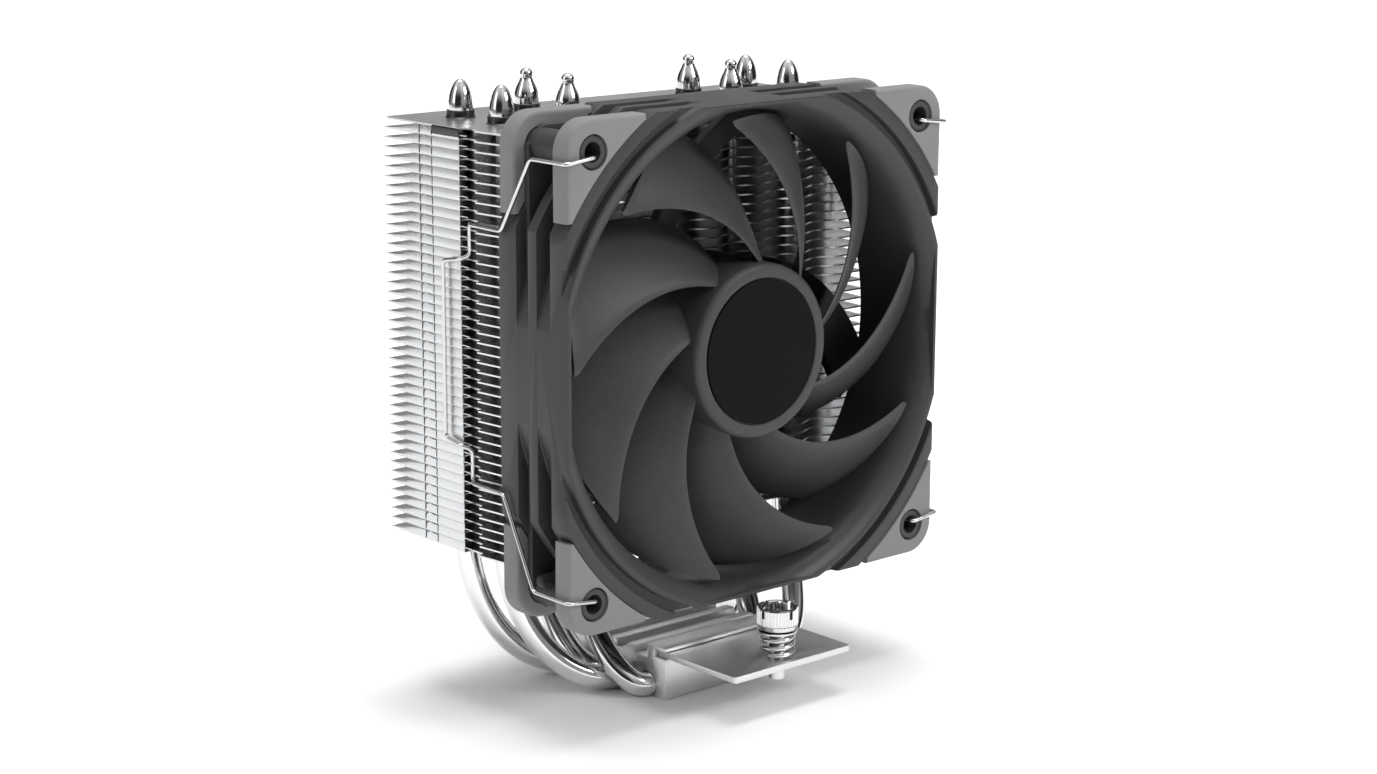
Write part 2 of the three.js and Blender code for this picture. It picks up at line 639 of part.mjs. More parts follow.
function addRotor() {
  const { hubRadius, hubFront, hubRear, wall, face, discRadius, discRecess, bossRadius } = ROTOR;
  const { shoulder, bossDepth } = ROTOR;
  const bossRear = hubFront - face - bossDepth;
  const cup = turned([
    [0, hubFront - discRecess], [discRadius + GAP, hubFront - discRecess],
    [discRadius + GAP, hubFront], [hubRadius - shoulder, hubFront],
    [hubRadius, hubFront - shoulder], [hubRadius, hubRear], [hubRadius - wall, hubRear],
    [hubRadius - wall, hubFront - face], [bossRadius, hubFront - face],
    [bossRadius, bossRear], [0, bossRear],
  ].reverse(), 24);
  const blades = Array.from({ length: ROTOR.blades }, (unused, i) => (
    blade().rotateZ((ROTOR.phase + (i * 360) / ROTOR.blades) * DEG)
  ));
  const innerRadius = hubRadius - wall;
  const inside = rod(innerRadius, hubRear - 1, hubFront - face, 24);
  const boss = rod(bossRadius, bossRear, hubFront - face / 2, 12);
  const shaftHole = rod(ROTOR.shaftRadius + GAP, bossRear - 1, hubFront - face, 12);
  const shell = join(cup, ...blades);
  const hollow = cut(shell, inside).add(toSolid(boss));
  addPiece(fan, 'impeller', cut(hollow, shaftHole), BLADE_PLASTIC);
  const discBack = hubFront - discRecess + GAP;
  addPiece(fan, 'hub_disc', rod(discRadius, discBack, hubFront, 24), BLACK_LABEL);
  const yokeOuter = innerRadius - GAP;
  const yokeInner = yokeOuter - ROTOR.yokeWall;
  const yokeFront = hubFront - face - GAP;
  addPiece(fan, 'rotor_yoke', ring(yokeInner, yokeOuter, hubRear + ROTOR.yokeLift, yokeFront), STEEL);
  const magnetOuter = yokeInner - GAP;
  const magnetRear = hubRear + ROTOR.magnetLift;
  const magnetFront = yokeFront - ROTOR.magnetInset;
  const magnet = ring(magnetOuter - ROTOR.magnetWall, magnetOuter, magnetRear, magnetFront);
  addPiece(fan, 'magnet_ring', magnet, { color: 0x2b2b2d, roughness: 0.7, metalness: 0.2 });
  const shaftFront = hubFront - face - GAP;
  const shaftRear = -FAN.depth / 2 + ROTOR.shaftRear;
  addPiece(fan, 'shaft', rod(ROTOR.shaftRadius, shaftRear, shaftFront, 12), STEEL);
}

// The stator: a round core on the bearing tube with four wound poles, each ending in a curved shoe.
function stator() {
  const { tubeOuter, coreRadius, coreHalf, poleEnd, poleHalf, shoeInner, shoeOuter } = MOTOR;
  const step = 0.6;
  const poleTop = coreHalf - step;
  const shoeTop = coreHalf - 2 * step;
  const shoeHalf = MOTOR.shoeAngle * DEG;
  const shoe = new THREE.Shape();
  shoe.absarc(0, 0, shoeOuter, -shoeHalf, shoeHalf, false);
  shoe.absarc(0, 0, shoeInner, shoeHalf, -shoeHalf, true);
  shoe.closePath();
  const parts = [ring(tubeOuter + GAP, coreRadius, -coreHalf, coreHalf)];
  for (const angle of [0, 90, 180, 270]) {
    const pole = block([coreRadius - 1, -poleHalf, -poleTop], [poleEnd, poleHalf, poleTop]);
    parts.push(pole.rotateZ(angle * DEG), slab(shoe, -shoeTop, shoeTop, 3).rotateZ(angle * DEG));
  }
  return join(...parts);
}

function addMotor() {
  const rear = -FAN.depth / 2;
  const sleeveInner = ROTOR.shaftRadius + GAP;
  const sleeveOuter = MOTOR.tubeInner - GAP;
  const sleeveTop = MOTOR.tubeTop - 0.5;
  const sleeve = ring(sleeveInner, sleeveOuter, rear + MOTOR.sleeveRear, sleeveTop, 12);
  addPiece(fan, 'bearing_sleeve', sleeve, BRASS);
  addPiece(fan, 'stator', stator(), COPPER);
  const boardRear = rear + STRUT.lift + MOTOR.plateThick + GAP;
  const boardTop = boardRear + MOTOR.boardThick;
  const board = ring(MOTOR.tubeOuter + GAP, MOTOR.boardRadius, boardRear, boardTop);
  addPiece(fan, 'circuit_board', board, BOARD);
}

// ---------------------------------------------------------------- wire clips

// One bent wire from hole to hole. Its arms and handle sit a little above the fan's mid-height.
function addWireClip(name, side) {
  const hole = FAN.holeSpacing / 2;
  const frontY = FAN.centreY - CLIP.frontZ;
  const ends = [
    [hole, frontY + CLIP.holeDepth, hole - 1],
    [hole, frontY, hole - 1],
    [CLIP.sideX, frontY, CLIP.cornerZ],
    [CLIP.sideX, CLIP.bendY, CLIP.cornerZ],
  ];
  const arm = [
    [CLIP.sideX, CLIP.armY, CLIP.armZ],
    [CLIP.sillX, CLIP.sillY, CLIP.armZ],
    [CLIP.hookX, CLIP.hookY, CLIP.armZ],
    [CLIP.hookX, CLIP.hookY, CLIP.hookZ],
    [CLIP.sideX, CLIP.exitY, CLIP.handleZ + 1],
    [CLIP.sideX, CLIP.handleY, CLIP.handleZ],
  ];
  const lifted = (points, turn) => points.map(([x, y, z]) => [x, y, turn * z + CLIP.lift]);
  const lowerEnds = ends.map(([x, y, z]) => [x, y, -z]).reverse();
  const line = [...ends, ...lifted(arm, 1), ...lifted(arm, -1).reverse(), ...lowerEnds];
  const points = line.map(([x, y, z]) => [side * x, y, FAN.centreZ + z]);
  const wire = tube(bentPath(points, CLIP.bendRadius, 2), CLIP.wire, 6);
  addPiece(cooler, name, wire, NICKEL);
}

addBase();
addMountingPlate('front_mounting_plate', -1);
addMountingPlate('rear_mounting_plate', 1);
addSpringScrew('front', -1);
addSpringScrew('rear', 1);
addHeatPipes();
addFinStack();
addFanFrame();
addCornerPads();
addRotor();
addMotor();
addWireClip('left_wire_clip', -1);
addWireClip('right_wire_clip', 1);

export default cooler;
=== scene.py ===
import math

import bmesh
import bpy
from mathutils import Matrix, Vector


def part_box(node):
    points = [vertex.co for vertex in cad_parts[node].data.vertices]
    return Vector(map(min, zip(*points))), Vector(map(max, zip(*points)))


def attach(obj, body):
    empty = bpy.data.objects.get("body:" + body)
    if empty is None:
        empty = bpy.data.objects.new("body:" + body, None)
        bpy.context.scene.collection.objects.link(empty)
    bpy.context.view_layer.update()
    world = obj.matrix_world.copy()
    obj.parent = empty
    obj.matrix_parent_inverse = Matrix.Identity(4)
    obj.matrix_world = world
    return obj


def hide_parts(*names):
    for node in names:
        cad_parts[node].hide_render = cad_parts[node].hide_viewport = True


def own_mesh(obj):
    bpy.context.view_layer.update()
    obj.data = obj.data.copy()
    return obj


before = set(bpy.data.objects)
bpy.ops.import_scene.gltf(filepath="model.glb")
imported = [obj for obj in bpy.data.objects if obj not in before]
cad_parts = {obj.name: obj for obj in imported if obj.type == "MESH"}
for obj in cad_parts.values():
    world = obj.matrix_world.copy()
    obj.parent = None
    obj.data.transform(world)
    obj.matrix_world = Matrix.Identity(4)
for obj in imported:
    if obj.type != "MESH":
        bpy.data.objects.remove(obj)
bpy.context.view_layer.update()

MM = 0.001

# ---------------------------------------------------------------- sizes

PIPE_RADIUS = 3.0
PIPE_LEG_START = 40.0
PIPE_AXIS_Z = 2.7
PIPE_BASE_EXIT = 20.6
PIPE_OUTER_BEND = (17, 24)
PIPE_INNER_BEND = (9, 20)
PIPE_CONE_TOP = 150.2
PIPE_NIB_TOP = 151.6
PIPE_SIDES = 32
GROOVE_CLEARANCE = 0.08

FIN_THICK = 0.4
FIN_PITCH = 2.36
FIN_PAIRS = 22
FIN_TAB_HEIGHT = 1.9
FIN_TAB_THICK = 0.28
FIN_GROOVE_FROM = 3.0
FIN_TAB_FROM = 7.5
FIN_TAB_TO = 18.0
FIN_GROOVE_DEPTH = 2.2
FIN_WAVE_DEPTH = 2.4
FIN_WAVE_REACH = 51.0
FIN_WAVES = 7
FIN_HOLE = 3.05
COLLAR_WALL = 0.3

FRAME_SIDES = 160
BORE_RADIUS = 57.5
BARREL_RADIUS = 61.0
PAD_ARC = 69.2
PAD_LEG = 36.9
PAD_THICK = 5.7
STRUTS = 4
STRUT_CONTROL = ((20.0, 50.0), (45.1, 19.4), (BORE_RADIUS + 1.8, -18.3))
POST_RADIUS = 3.85
POST_HOLE = 2.35

HUB_RADIUS = 21.35
DISC_RADIUS = 17.6
BLADES = 9
BLADE_TIP_RADIUS = 56.4
BLADE_ROOT_RADIUS = 20.4
BLADE_CHORD = 33.0
BLADE_FRONT = (9.5, 10.0)
BLADE_REAR = (-5.0, -3.6)
BLADE_THICK = 1.5
BLADE_THINNING = 0.35
BLADE_EDGE = 0.12
BLADE_BOW = 1.7
BLADE_TIP_ROUND = 0.07
BLADE_SWEEP = 54.5
BLADE_SWEEP_POWER = 0.84
BLADE_TIP_ANGLE = 60.0
BLADE_PHASE = BLADE_TIP_ANGLE - BLADE_SWEEP

SCREW_SHANK = 2.0
SCREW_NECK = 1.2
SCREW_HOLE = 2.35
SCREW_NOTCHES = 40
WIRE_RADIUS = 0.5
SPRING_WIRE = 0.6
SPRING_TURNS = 2.45
SPRING_START = 0.55

# The camera's lens in millimetres, place in metres and directions in degrees.
CAMERA_LENS = 69.5
CAMERA_PLACE = (-0.4266, -0.4857, 0.2190)
CAMERA_AZIMUTH = -41.62
CAMERA_ELEVATION = 12.78
CAMERA_ROLL = 0.27


def box_mm(node):
    low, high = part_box(node)
    return low / MM, high / MM


def middle(node):
    low, high = box_mm(node)
    return (low + high) / 2


# ---------------------------------------------------------------- meshes

def clean(bm):
    bmesh.ops.remove_doubles(bm, verts=bm.verts, dist=1e-7)
    bmesh.ops.dissolve_degenerate(bm, edges=bm.edges, dist=1e-7)
    bmesh.ops.recalc_face_normals(bm, faces=bm.faces)


def set_shading(mesh, angle):
    mesh.shade_smooth()
    mesh.set_sharp_from_angle(angle=math.radians(angle))


def mesh_object(name, verts, faces, angle=32):
    """A mesh from points in millimetres."""
    mesh = bpy.data.meshes.new(name)
    mesh.from_pydata([Vector(v) * MM for v in verts], [], faces)
    bm = bmesh.new()
    bm.from_mesh(mesh)
    clean(bm)
    bm.to_mesh(mesh)
    bm.free()
    set_shading(mesh, angle)
    obj = bpy.data.objects.new(name, mesh)
    bpy.context.scene.collection.objects.link(obj)
    return obj


def move_mesh(obj, matrix):
    obj.data.transform(matrix)
    return obj


def placed(x, y, z):
    return Matrix.Translation(Vector((x, y, z)) * MM)


def join(name, parts, angle=32):
    """Several objects' meshes as one object."""
    bm = bmesh.new()
    for part in parts:
        bm.from_mesh(part.data)
    mesh = bpy.data.meshes.new(name)
    bm.to_mesh(mesh)
    bm.free()
    for part in parts:
        bpy.data.objects.remove(part)
    set_shading(mesh, angle)
    obj = bpy.data.objects.new(name, mesh)
    bpy.context.scene.collection.objects.link(obj)
    return obj


def apply_modifiers(obj, angle=32):
    bpy.context.view_layer.update()
    graph = bpy.context.evaluated_depsgraph_get()
    mesh = bpy.data.meshes.new_from_object(obj.evaluated_get(graph))
    obj.modifiers.clear()
    obj.data = mesh
    bm = bmesh.new()
    bm.from_mesh(mesh)
    clean(bm)
    bm.to_mesh(mesh)
    bm.free()
    set_shading(mesh, angle)
    return obj


def combine(obj, tool, operation, angle=32):
    """A boolean with another closed mesh, which is then removed."""
    for solver in ("MANIFOLD", "EXACT"):
        modifier = obj.modifiers.new("combine", "BOOLEAN")
        modifier.operation = operation
        modifier.solver = solver
        modifier.object = tool
        bpy.context.view_layer.update()
        graph = bpy.context.evaluated_depsgraph_get()
        count = len(obj.evaluated_get(graph).data.polygons)
        if count > 4 and count != len(obj.data.polygons):
            break
        obj.modifiers.clear()
    apply_modifiers(obj, angle)
    bpy.data.objects.remove(tool)
    return obj


def bevel(obj, width, segments=2, limit=35, angle=32):
    modifier = obj.modifiers.new("bevel", "BEVEL")
    modifier.width = width * MM
    modifier.segments = segments
    modifier.limit_method = "ANGLE"
    modifier.angle_limit = math.radians(limit)
    modifier.use_clamp_overlap = True
    return apply_modifiers(obj, angle)


def lathe(name, profile, sides=64, closed=False, angle=32):
    """Turns (radius, height) points about Z. A closed profile makes a ring."""
    verts = []
    rows = []
    for radius, height in profile:
        if radius < 1e-6:
            rows.append([len(verts)] * sides)
            verts.append((0, 0, height))
            continue
        rows.append(range(len(verts), len(verts) + sides))
        for i in range(sides):
            turn = 2 * math.pi * i / sides
            verts.append((radius * math.cos(turn), radius * math.sin(turn), height))
    pairs = list(zip(rows, rows[1:]))
    if closed:
        pairs.append((rows[-1], rows[0]))
    faces = []
    for low, high in pairs:
        for i in range(sides):
            k = (i + 1) % sides
            corners = [low[i], low[k], high[k], high[i]]
            face = list(dict.fromkeys(corners))
            if len(face) > 2:
                faces.append(face)
    return mesh_object(name, verts, faces, angle)


def sweep(name, path, radius, sides=16, angle=40):
    """A round bar along points in millimetres. The radius is a number or one for each point."""
    points = [Vector(p) for p in path]
    radii = radius if hasattr(radius, "__len__") else [radius] * len(points)
    tangents = []
    for i in range(len(points)):
        before = points[max(i - 1, 0)]
        after = points[min(i + 1, len(points) - 1)]
        tangents.append((after - before).normalized())
    normal = tangents[0].orthogonal().normalized()
    verts = []
    for i, (point, tangent) in enumerate(zip(points, tangents)):
        normal = (normal - tangent * normal.dot(tangent)).normalized()
        side = tangent.cross(normal)
        for k in range(sides):
            turn = 2 * math.pi * k / sides
            verts.append(point + radii[i] * (math.cos(turn) * normal + math.sin(turn) * side))
    faces = []
    for i in range(len(points) - 1):
        for k in range(sides):
            n = (k + 1) % sides
            faces.append((i * sides + k, i * sides + n, (i + 1) * sides + n, (i + 1) * sides + k))
    faces.append(list(range(sides))[::-1])
    faces.append([(len(points) - 1) * sides + k for k in range(sides)])
    return mesh_object(name, verts, faces, angle)


def prism(name, outline, low, high, axis="Z", angle=32):
    """An outline pushed along an axis. The outline's points are the other two coordinates in order."""
    def place(point, depth):
        a, b = point
        return {"X": (depth, a, b), "Y": (a, depth, b), "Z": (a, b, depth)}[axis]
    count = len(outline)
    verts = [place(p, low) for p in outline] + [place(p, high) for p in outline]
    faces = [list(range(count))[::-1], list(range(count, 2 * count))]
    for i in range(count):
        k = (i + 1) % count
        faces.append((i, k, count + k, count + i))
    return mesh_object(name, verts, faces, angle)


def circle_points(x, y, radius, sides, start=0.0, end=360.0):
    steps = sides if end - start >= 360 else sides + 1
    points = []
    for i in range(steps):
        turn = math.radians(start + (end - start) * i / sides)
        points.append((x + radius * math.cos(turn), y + radius * math.sin(turn)))
    return points


def slab(name, outlines, low, high, round_by=0.0, segments=2, angle=32):
    """A flat plate in XY from an outline and its holes, with its edges rounded."""
    curve = bpy.data.curves.new(name, "CURVE")
    curve.dimensions = "2D"
    curve.fill_mode = "BOTH"
    curve.extrude = ((high - low) / 2 - round_by) * MM
    curve.bevel_depth = round_by * MM
    curve.bevel_resolution = segments
    curve.offset = -round_by * MM
    for outline in outlines:
        spline = curve.splines.new("POLY")
        spline.points.add(len(outline) - 1)
        for point, (x, y) in zip(spline.points, outline):
            point.co = (x * MM, y * MM, 0, 1)
        spline.use_cyclic_u = True
    holder = bpy.data.objects.new(name, curve)
    bpy.context.scene.collection.objects.link(holder)
    bpy.context.view_layer.update()
    graph = bpy.context.evaluated_depsgraph_get()
    mesh = bpy.data.meshes.new_from_object(holder.evaluated_get(graph))
    bpy.data.objects.remove(holder)
    mesh.name = name
    mesh.transform(placed(0, 0, (low + high) / 2))
    bm = bmesh.new()
    bm.from_mesh(mesh)
    clean(bm)
    bm.to_mesh(mesh)
    bm.free()
    mesh.materials.clear()
    set_shading(mesh, angle)
    obj = bpy.data.objects.new(name, mesh)
    bpy.context.scene.collection.objects.link(obj)
    return obj


def rounded_corners(corners, radius, steps=5, closed=False):
    """A polyline with its corners replaced by arcs. Works in two or three dimensions."""
    points = [Vector(c) for c in corners]
    count = len(points)
    result = []
    for i, corner in enumerate(points):
        if not closed and i in (0, count - 1):
            result.append(corner)
            continue
        before = (points[i - 1] - corner)
        after = (points[(i + 1) % count] - corner)
        reach = min(radius, before.length * 0.49, after.length * 0.49)
        start = corner + before.normalized() * reach
        end = corner + after.normalized() * reach
        for k in range(steps + 1):
            t = k / steps
            result.append((1 - t) ** 2 * start + 2 * t * (1 - t) * corner + t * t * end)
    return result


# ---------------------------------------------------------------- finishes

def finish(name, colour, metallic=0.0, rough=0.4, rough_range=0.08, shade=0.08, patch=60.0,
           grain=900.0, bump=0.1, stretch=(1, 1, 1), specular=0.5):
    """Colour and roughness that drift in patches, with a fine grain in both and in the relief."""
    material = bpy.data.materials.new(name)
    material.use_nodes = True
    nodes = material.node_tree.nodes
    links = material.node_tree.links
    shader = nodes["Principled BSDF"]
    shader.inputs["Metallic"].default_value = metallic
    shader.inputs["Specular IOR Level"].default_value = specular
    place = nodes.new("ShaderNodeTexCoord")
    mapping = nodes.new("ShaderNodeMapping")
    mapping.inputs["Scale"].default_value = stretch
    links.new(place.outputs["Object"], mapping.inputs["Vector"])
    patches = nodes.new("ShaderNodeTexNoise")
    patches.inputs["Scale"].default_value = patch
    patches.inputs["Detail"].default_value = 4
    patches.inputs["Roughness"].default_value = 0.55
    grains = nodes.new("ShaderNodeTexNoise")
    grains.inputs["Scale"].default_value = grain
    grains.inputs["Detail"].default_value = 3
    links.new(place.outputs["Object"], patches.inputs["Vector"])
    links.new(mapping.outputs["Vector"], grains.inputs["Vector"])
    both = nodes.new("ShaderNodeMath")
    both.operation = "ADD"
    links.new(patches.outputs["Fac"], both.inputs[0])
    links.new(grains.outputs["Fac"], both.inputs[1])
    tones = nodes.new("ShaderNodeMapRange")
    tones.inputs["From Min"].default_value = 0.6
    tones.inputs["From Max"].default_value = 1.4
    links.new(both.outputs[0], tones.inputs["Value"])
    mix = nodes.new("ShaderNodeMix")
    mix.data_type = "RGBA"
    links.new(tones.outputs["Result"], mix.inputs["Factor"])
    mix.inputs[6].default_value = (*[c * (1 - shade) for c in colour], 1)
    mix.inputs[7].default_value = (*[min(c * (1 + shade), 1) for c in colour], 1)
    links.new(mix.outputs[2], shader.inputs["Base Color"])
    roughness = nodes.new("ShaderNodeMapRange")
    roughness.inputs["From Min"].default_value = 0.6
    roughness.inputs["From Max"].default_value = 1.4
    roughness.inputs["To Min"].default_value = max(rough - rough_range, 0.02)
    roughness.inputs["To Max"].default_value = min(rough + rough_range, 1)
    links.new(both.outputs[0], roughness.inputs["Value"])
    links.new(roughness.outputs["Result"], shader.inputs["Roughness"])
    relief = nodes.new("ShaderNodeBump")
    relief.inputs["Strength"].default_value = bump
    relief.inputs["Distance"].default_value = 0.0001
    links.new(grains.outputs["Fac"], relief.inputs["Height"])
    links.new(relief.outputs["Normal"], shader.inputs["Normal"])
    return material


# Each line: colour, metallic, rough, rough_range, shade, patch, grain, bump and, if it has one, stretch.
FINISHES = {
    "fin_aluminium": finish(
        "fin_aluminium", (0.66, 0.67, 0.68), 1, 0.30, 0.05, 0.05, 60, 900, 0.04),
    "base_aluminium": finish(
        "base_aluminium", (0.80, 0.80, 0.80), 1, 0.42, 0.06, 0.04, 60, 1500, 0.25, (1, 6, 6)),
    "plate_steel": finish(
        "plate_steel", (0.74, 0.74, 0.75), 1, 0.38, 0.02, 0.03, 70, 2600, 0.01),
    "pipe_nickel": finish(
        "pipe_nickel", (0.74, 0.74, 0.73), 1, 0.10, 0.03, 0.04, 50, 500, 0.03),
    "screw_nickel": finish(
        "screw_nickel", (0.74, 0.74, 0.73), 1, 0.11, 0.04, 0.04, 120, 900, 0.04),
    "spring_wire": finish(
        "spring_wire", (0.62, 0.62, 0.62), 1, 0.20, 0.06, 0.06, 200, 1200, 0.06),
    "frame_plastic": finish(
        "frame_plastic", (0.046, 0.046, 0.047), 0, 0.42, 0.06, 0.10, 60, 2200, 0.20,
        specular=0.28),
    "blade_plastic": finish(
        "blade_plastic", (0.047, 0.047, 0.048), 0, 0.46, 0.06, 0.16, 60, 1600, 0.30,
        specular=0.28),
    "pad_rubber": finish(
        "pad_rubber", (0.21, 0.21, 0.217), 0, 0.66, 0.06, 0.06, 70, 2200, 0.25, specular=0.3),
    "hub_label": finish(
        "hub_label", (0.003, 0.003, 0.0033), 0, 0.34, 0.05, 0.10, 60, 2000, 0.04,
        specular=0.06),
    "motor_steel": finish(
        "motor_steel", (0.50, 0.50, 0.51), 1, 0.35, 0.08, 0.06, 90, 1500, 0.15),
    "magnet_ferrite": finish(
        "magnet_ferrite", (0.03, 0.03, 0.032), 0.2, 0.70, 0.08, 0.12, 90, 1800, 0.30),
    "bearing_brass": finish(
        "bearing_brass", (0.62, 0.44, 0.20), 1, 0.35, 0.08, 0.07, 90, 1500, 0.15),
    "winding_copper": finish(
        "winding_copper", (0.62, 0.26, 0.11), 1, 0.38, 0.08, 0.10, 90, 1500, 0.35, (1, 1, 9)),
    "board_green": finish(
        "board_green", (0.012, 0.10, 0.035), 0, 0.40, 0.08, 0.12, 90, 1500, 0.10),
}
# Painted shade: the top fin's folded band and pipe collars are the fins' own aluminium, with a dark
# reflection painted into this darker colour.
PAINTED_FOLD_SHADE = finish("painted_fold_shade", (0.07, 0.07, 0.07), 1, 0.28, 0.06, 0.08, 90, 1500, 0.08)


def piece(obj, body, slot, *nodes, material=None):
    """Gives a finished object its finish, its body and the CAD nodes that it stands for."""
    obj.data.materials.clear()
    obj.data.materials.append(material or FINISHES[slot])
    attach(obj, body)
    if nodes:
        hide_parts(*nodes)
    return obj


# ---------------------------------------------------------------- base and mounting plates

def build_base():
    low, high = box_mm("base_block")
    plate_low, plate_high = box_mm("front_mounting_plate")
    ridge_top = 11.3
    groove_floor = 9.6
    ridge_pitch = 7.0
    ridge_half = 1.5
    lip_inner = 13.2
    slot_end = high.y - 4.2
    slot_gap = 0.15
    groove_sides = 20
    edge = 0.3
    pipe_centres = []
    for number in (1, 2, 3, 4):
        pipe_centres.append(box_mm(f"heat_pipe_{number}")[0].y + PIPE_RADIUS)
    groove = PIPE_RADIUS + GROOVE_CLEARANCE
    mouth = math.sqrt(groove ** 2 - PIPE_AXIS_Z ** 2)
    dip = math.degrees(math.atan2(PIPE_AXIS_Z, mouth))
    section = [(low.y, 0.0)]
    for y in pipe_centres:
        section.extend(circle_points(y, PIPE_AXIS_Z, groove, groove_sides, 180 + dip, -dip))
    section.append((high.y, 0.0))
    side = [
        (high.y, plate_low.z - slot_gap), (slot_end, plate_low.z - slot_gap),
        (slot_end, plate_high.z + slot_gap), (high.y, plate_high.z + slot_gap),
        (high.y, high.z), (lip_inner, high.z), (lip_inner, groove_floor),
    ]
    section.extend(side)
    for step in (1, 0, -1):
        centre = step * ridge_pitch
        section.extend([
            (centre + ridge_half, groove_floor), (centre + ridge_half, ridge_top),
            (centre - ridge_half, ridge_top), (centre - ridge_half, groove_floor),
        ])
    section.extend([(-y, z) for y, z in reversed(side)])
    base = prism("base", section, low.x, high.x, "X")
    bevel(base, edge, 2, 40)
    piece(base, "cooler", "base_aluminium", "base_block")


def build_plates():
    corner = 1.2
    edge = 0.18
    for end in ("front", "rear"):
        node = f"{end}_mounting_plate"
        low, high = box_mm(node)
        hole = middle(f"{end}_screw")
        outline = rounded_corners(
            [(low.x, low.y), (high.x, low.y), (high.x, high.y), (low.x, high.y)], corner, 5, True)
        holes = circle_points(hole.x, hole.y, SCREW_HOLE, 40)[::-1]
        plate = slab(f"{end}_plate", [[tuple(p) for p in outline], holes], low.z, high.z, edge)
        piece(plate, "cooler", "plate_steel", node)


# ---------------------------------------------------------------- spring screws

def build_screw_head(name, centre, low, high):
    """A round head with a cross slot, a notched rim and a flared collar, on a plain shank."""
    top = high.z
    head = (high.x - low.x) / 2
    bottom = box_mm("front_screw_washer")[1].z + 0.3
    neck_top = box_mm("front_screw_retainer")[1].z + 0.1
    neck_bottom = box_mm("front_screw_retainer")[0].z - 0.3
    rim = 1.3
    socket = 2.6
    slot_half = 0.5
    slot_depth = 2.55
    notch_radius = 0.36
    chamfer = 0.5
    profile = [
        (0, low.z), (SCREW_SHANK - chamfer, low.z), (SCREW_SHANK, low.z + chamfer),
        (SCREW_SHANK, neck_bottom), (SCREW_NECK, neck_bottom), (SCREW_NECK, neck_top),
        (SCREW_SHANK, neck_top), (SCREW_SHANK, bottom), (head - 0.7, bottom),
        (head - 0.25, bottom + 0.2), (head - 0.1, bottom + 0.6), (head - 0.1, bottom + 0.9),
        (head, bottom + 1.1), (head, top - 0.5), (head - 0.15, top - 0.15), (head - 0.5, top),
        (head - rim + 0.2, top), (head - rim, top - 0.25), (head - rim, top - 2.4),
        (head - rim - 0.2, top - socket), (0, top - socket),
    ]
    screw = lathe(name, profile, 96)
    tools = []
    for turn in (0, 90):
        reach = head + 1
        across = [(-reach, -slot_half), (reach, -slot_half), (reach, slot_half), (-reach, slot_half)]
        cutter = prism("slot", across, top - slot_depth, top + 1)
        move_mesh(cutter, Matrix.Rotation(math.radians(turn), 4, "Z"))
        tools.append(cutter)
    pitch = 360 / SCREW_NOTCHES
    for i in range(SCREW_NOTCHES):
        outline = circle_points(head + 0.08, 0, notch_radius, 8)
        notch = prism("notch", outline, bottom + 1.25, top - 0.6)
        move_mesh(notch, Matrix.Rotation(math.radians((i + 0.5) * pitch), 4, "Z"))
        tools.append(notch)
    combine(screw, tools[0], "DIFFERENCE")
    combine(screw, tools[1], "DIFFERENCE")
    combine(screw, join("notches", tools[2:]), "DIFFERENCE")
    return move_mesh(screw, placed(centre.x, centre.y, 0))


def helix_points(radius, low, high, wire):
    """A compression spring's line: the end coils lie flatter than the middle."""
    steps_per_turn = 40
    evenness = 0.55
    steps = round(SPRING_TURNS * steps_per_turn)
    points = []
    for i in range(steps + 1):
        t = i / steps
        eased = t * t * (3 - 2 * t)
        share = evenness * t + (1 - evenness) * eased
        turn = 2 * math.pi * (SPRING_TURNS * t + SPRING_START)
        z = low + wire + share * (high - low - 2 * wire)
        points.append((radius * math.cos(turn), radius * math.sin(turn), z))
    return points


def build_spring_screw(end, side):
    centre = middle(f"{end}_screw")
    low, high = box_mm(f"{end}_screw")
    screw = build_screw_head(f"{end}_screw_head", centre, low, high)
    piece(screw, f"{end}_screw", "screw_nickel", f"{end}_screw")

    low, high = box_mm(f"{end}_screw_washer")
    outer = (high.x - low.x) / 2
    bore = 2.4
    edge = 0.12
    profile = [(bore, low.z), (outer - edge, low.z), (outer, low.z + edge), (outer, high.z - edge),
               (outer - edge, high.z), (bore, high.z)]
    washer = lathe(f"{end}_washer_ring", profile, 72, True)
    move_mesh(washer, placed(centre.x, centre.y, 0))
    piece(washer, f"{end}_washer", "screw_nickel", f"{end}_screw_washer")

    low, high = box_mm(f"{end}_screw_spring")
    radius = (high.y - low.y) / 2 - SPRING_WIRE
    spring = sweep(f"{end}_spring", helix_points(radius, low.z, high.z, SPRING_WIRE), SPRING_WIRE, 12)
    move_mesh(spring, placed(centre.x, centre.y, 0))
    piece(spring, "cooler", "screw_nickel", f"{end}_screw_spring")
    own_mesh(spring)

    low, high = box_mm(f"{end}_screw_retainer")
    clip_outer = 3.4
    clip_inner = 1.5
    mouth = 42
    start = mouth + side * 90
    stop = 360 - mouth + side * 90
    outline = circle_points(0, 0, clip_outer, 40, start, stop)
    outline += circle_points(0, 0, clip_inner, 24, start, stop)[::-1]
    clip = slab(f"{end}_retaining_clip", [outline], low.z, high.z, 0.08)
    move_mesh(clip, placed(centre.x, centre.y, 0))
    piece(clip, f"{end}_screw", "plate_steel", f"{end}_screw_retainer")


# ---------------------------------------------------------------- heat pipes

def bend_points(exit_point, foot, reach, rise, steps=26):
    start = Vector(exit_point)
    end = Vector(foot)
    sign = 1 if end.x > start.x else -1
    first = start + Vector((sign * reach, 0, 0))
    second = end - Vector((0, 0, rise))
    points = []
    for i in range(steps + 1):
        t = i / steps
        points.append((1 - t) ** 3 * start + 3 * t * (1 - t) ** 2 * first
                      + 3 * t * t * (1 - t) * second + t ** 3 * end)
    return points


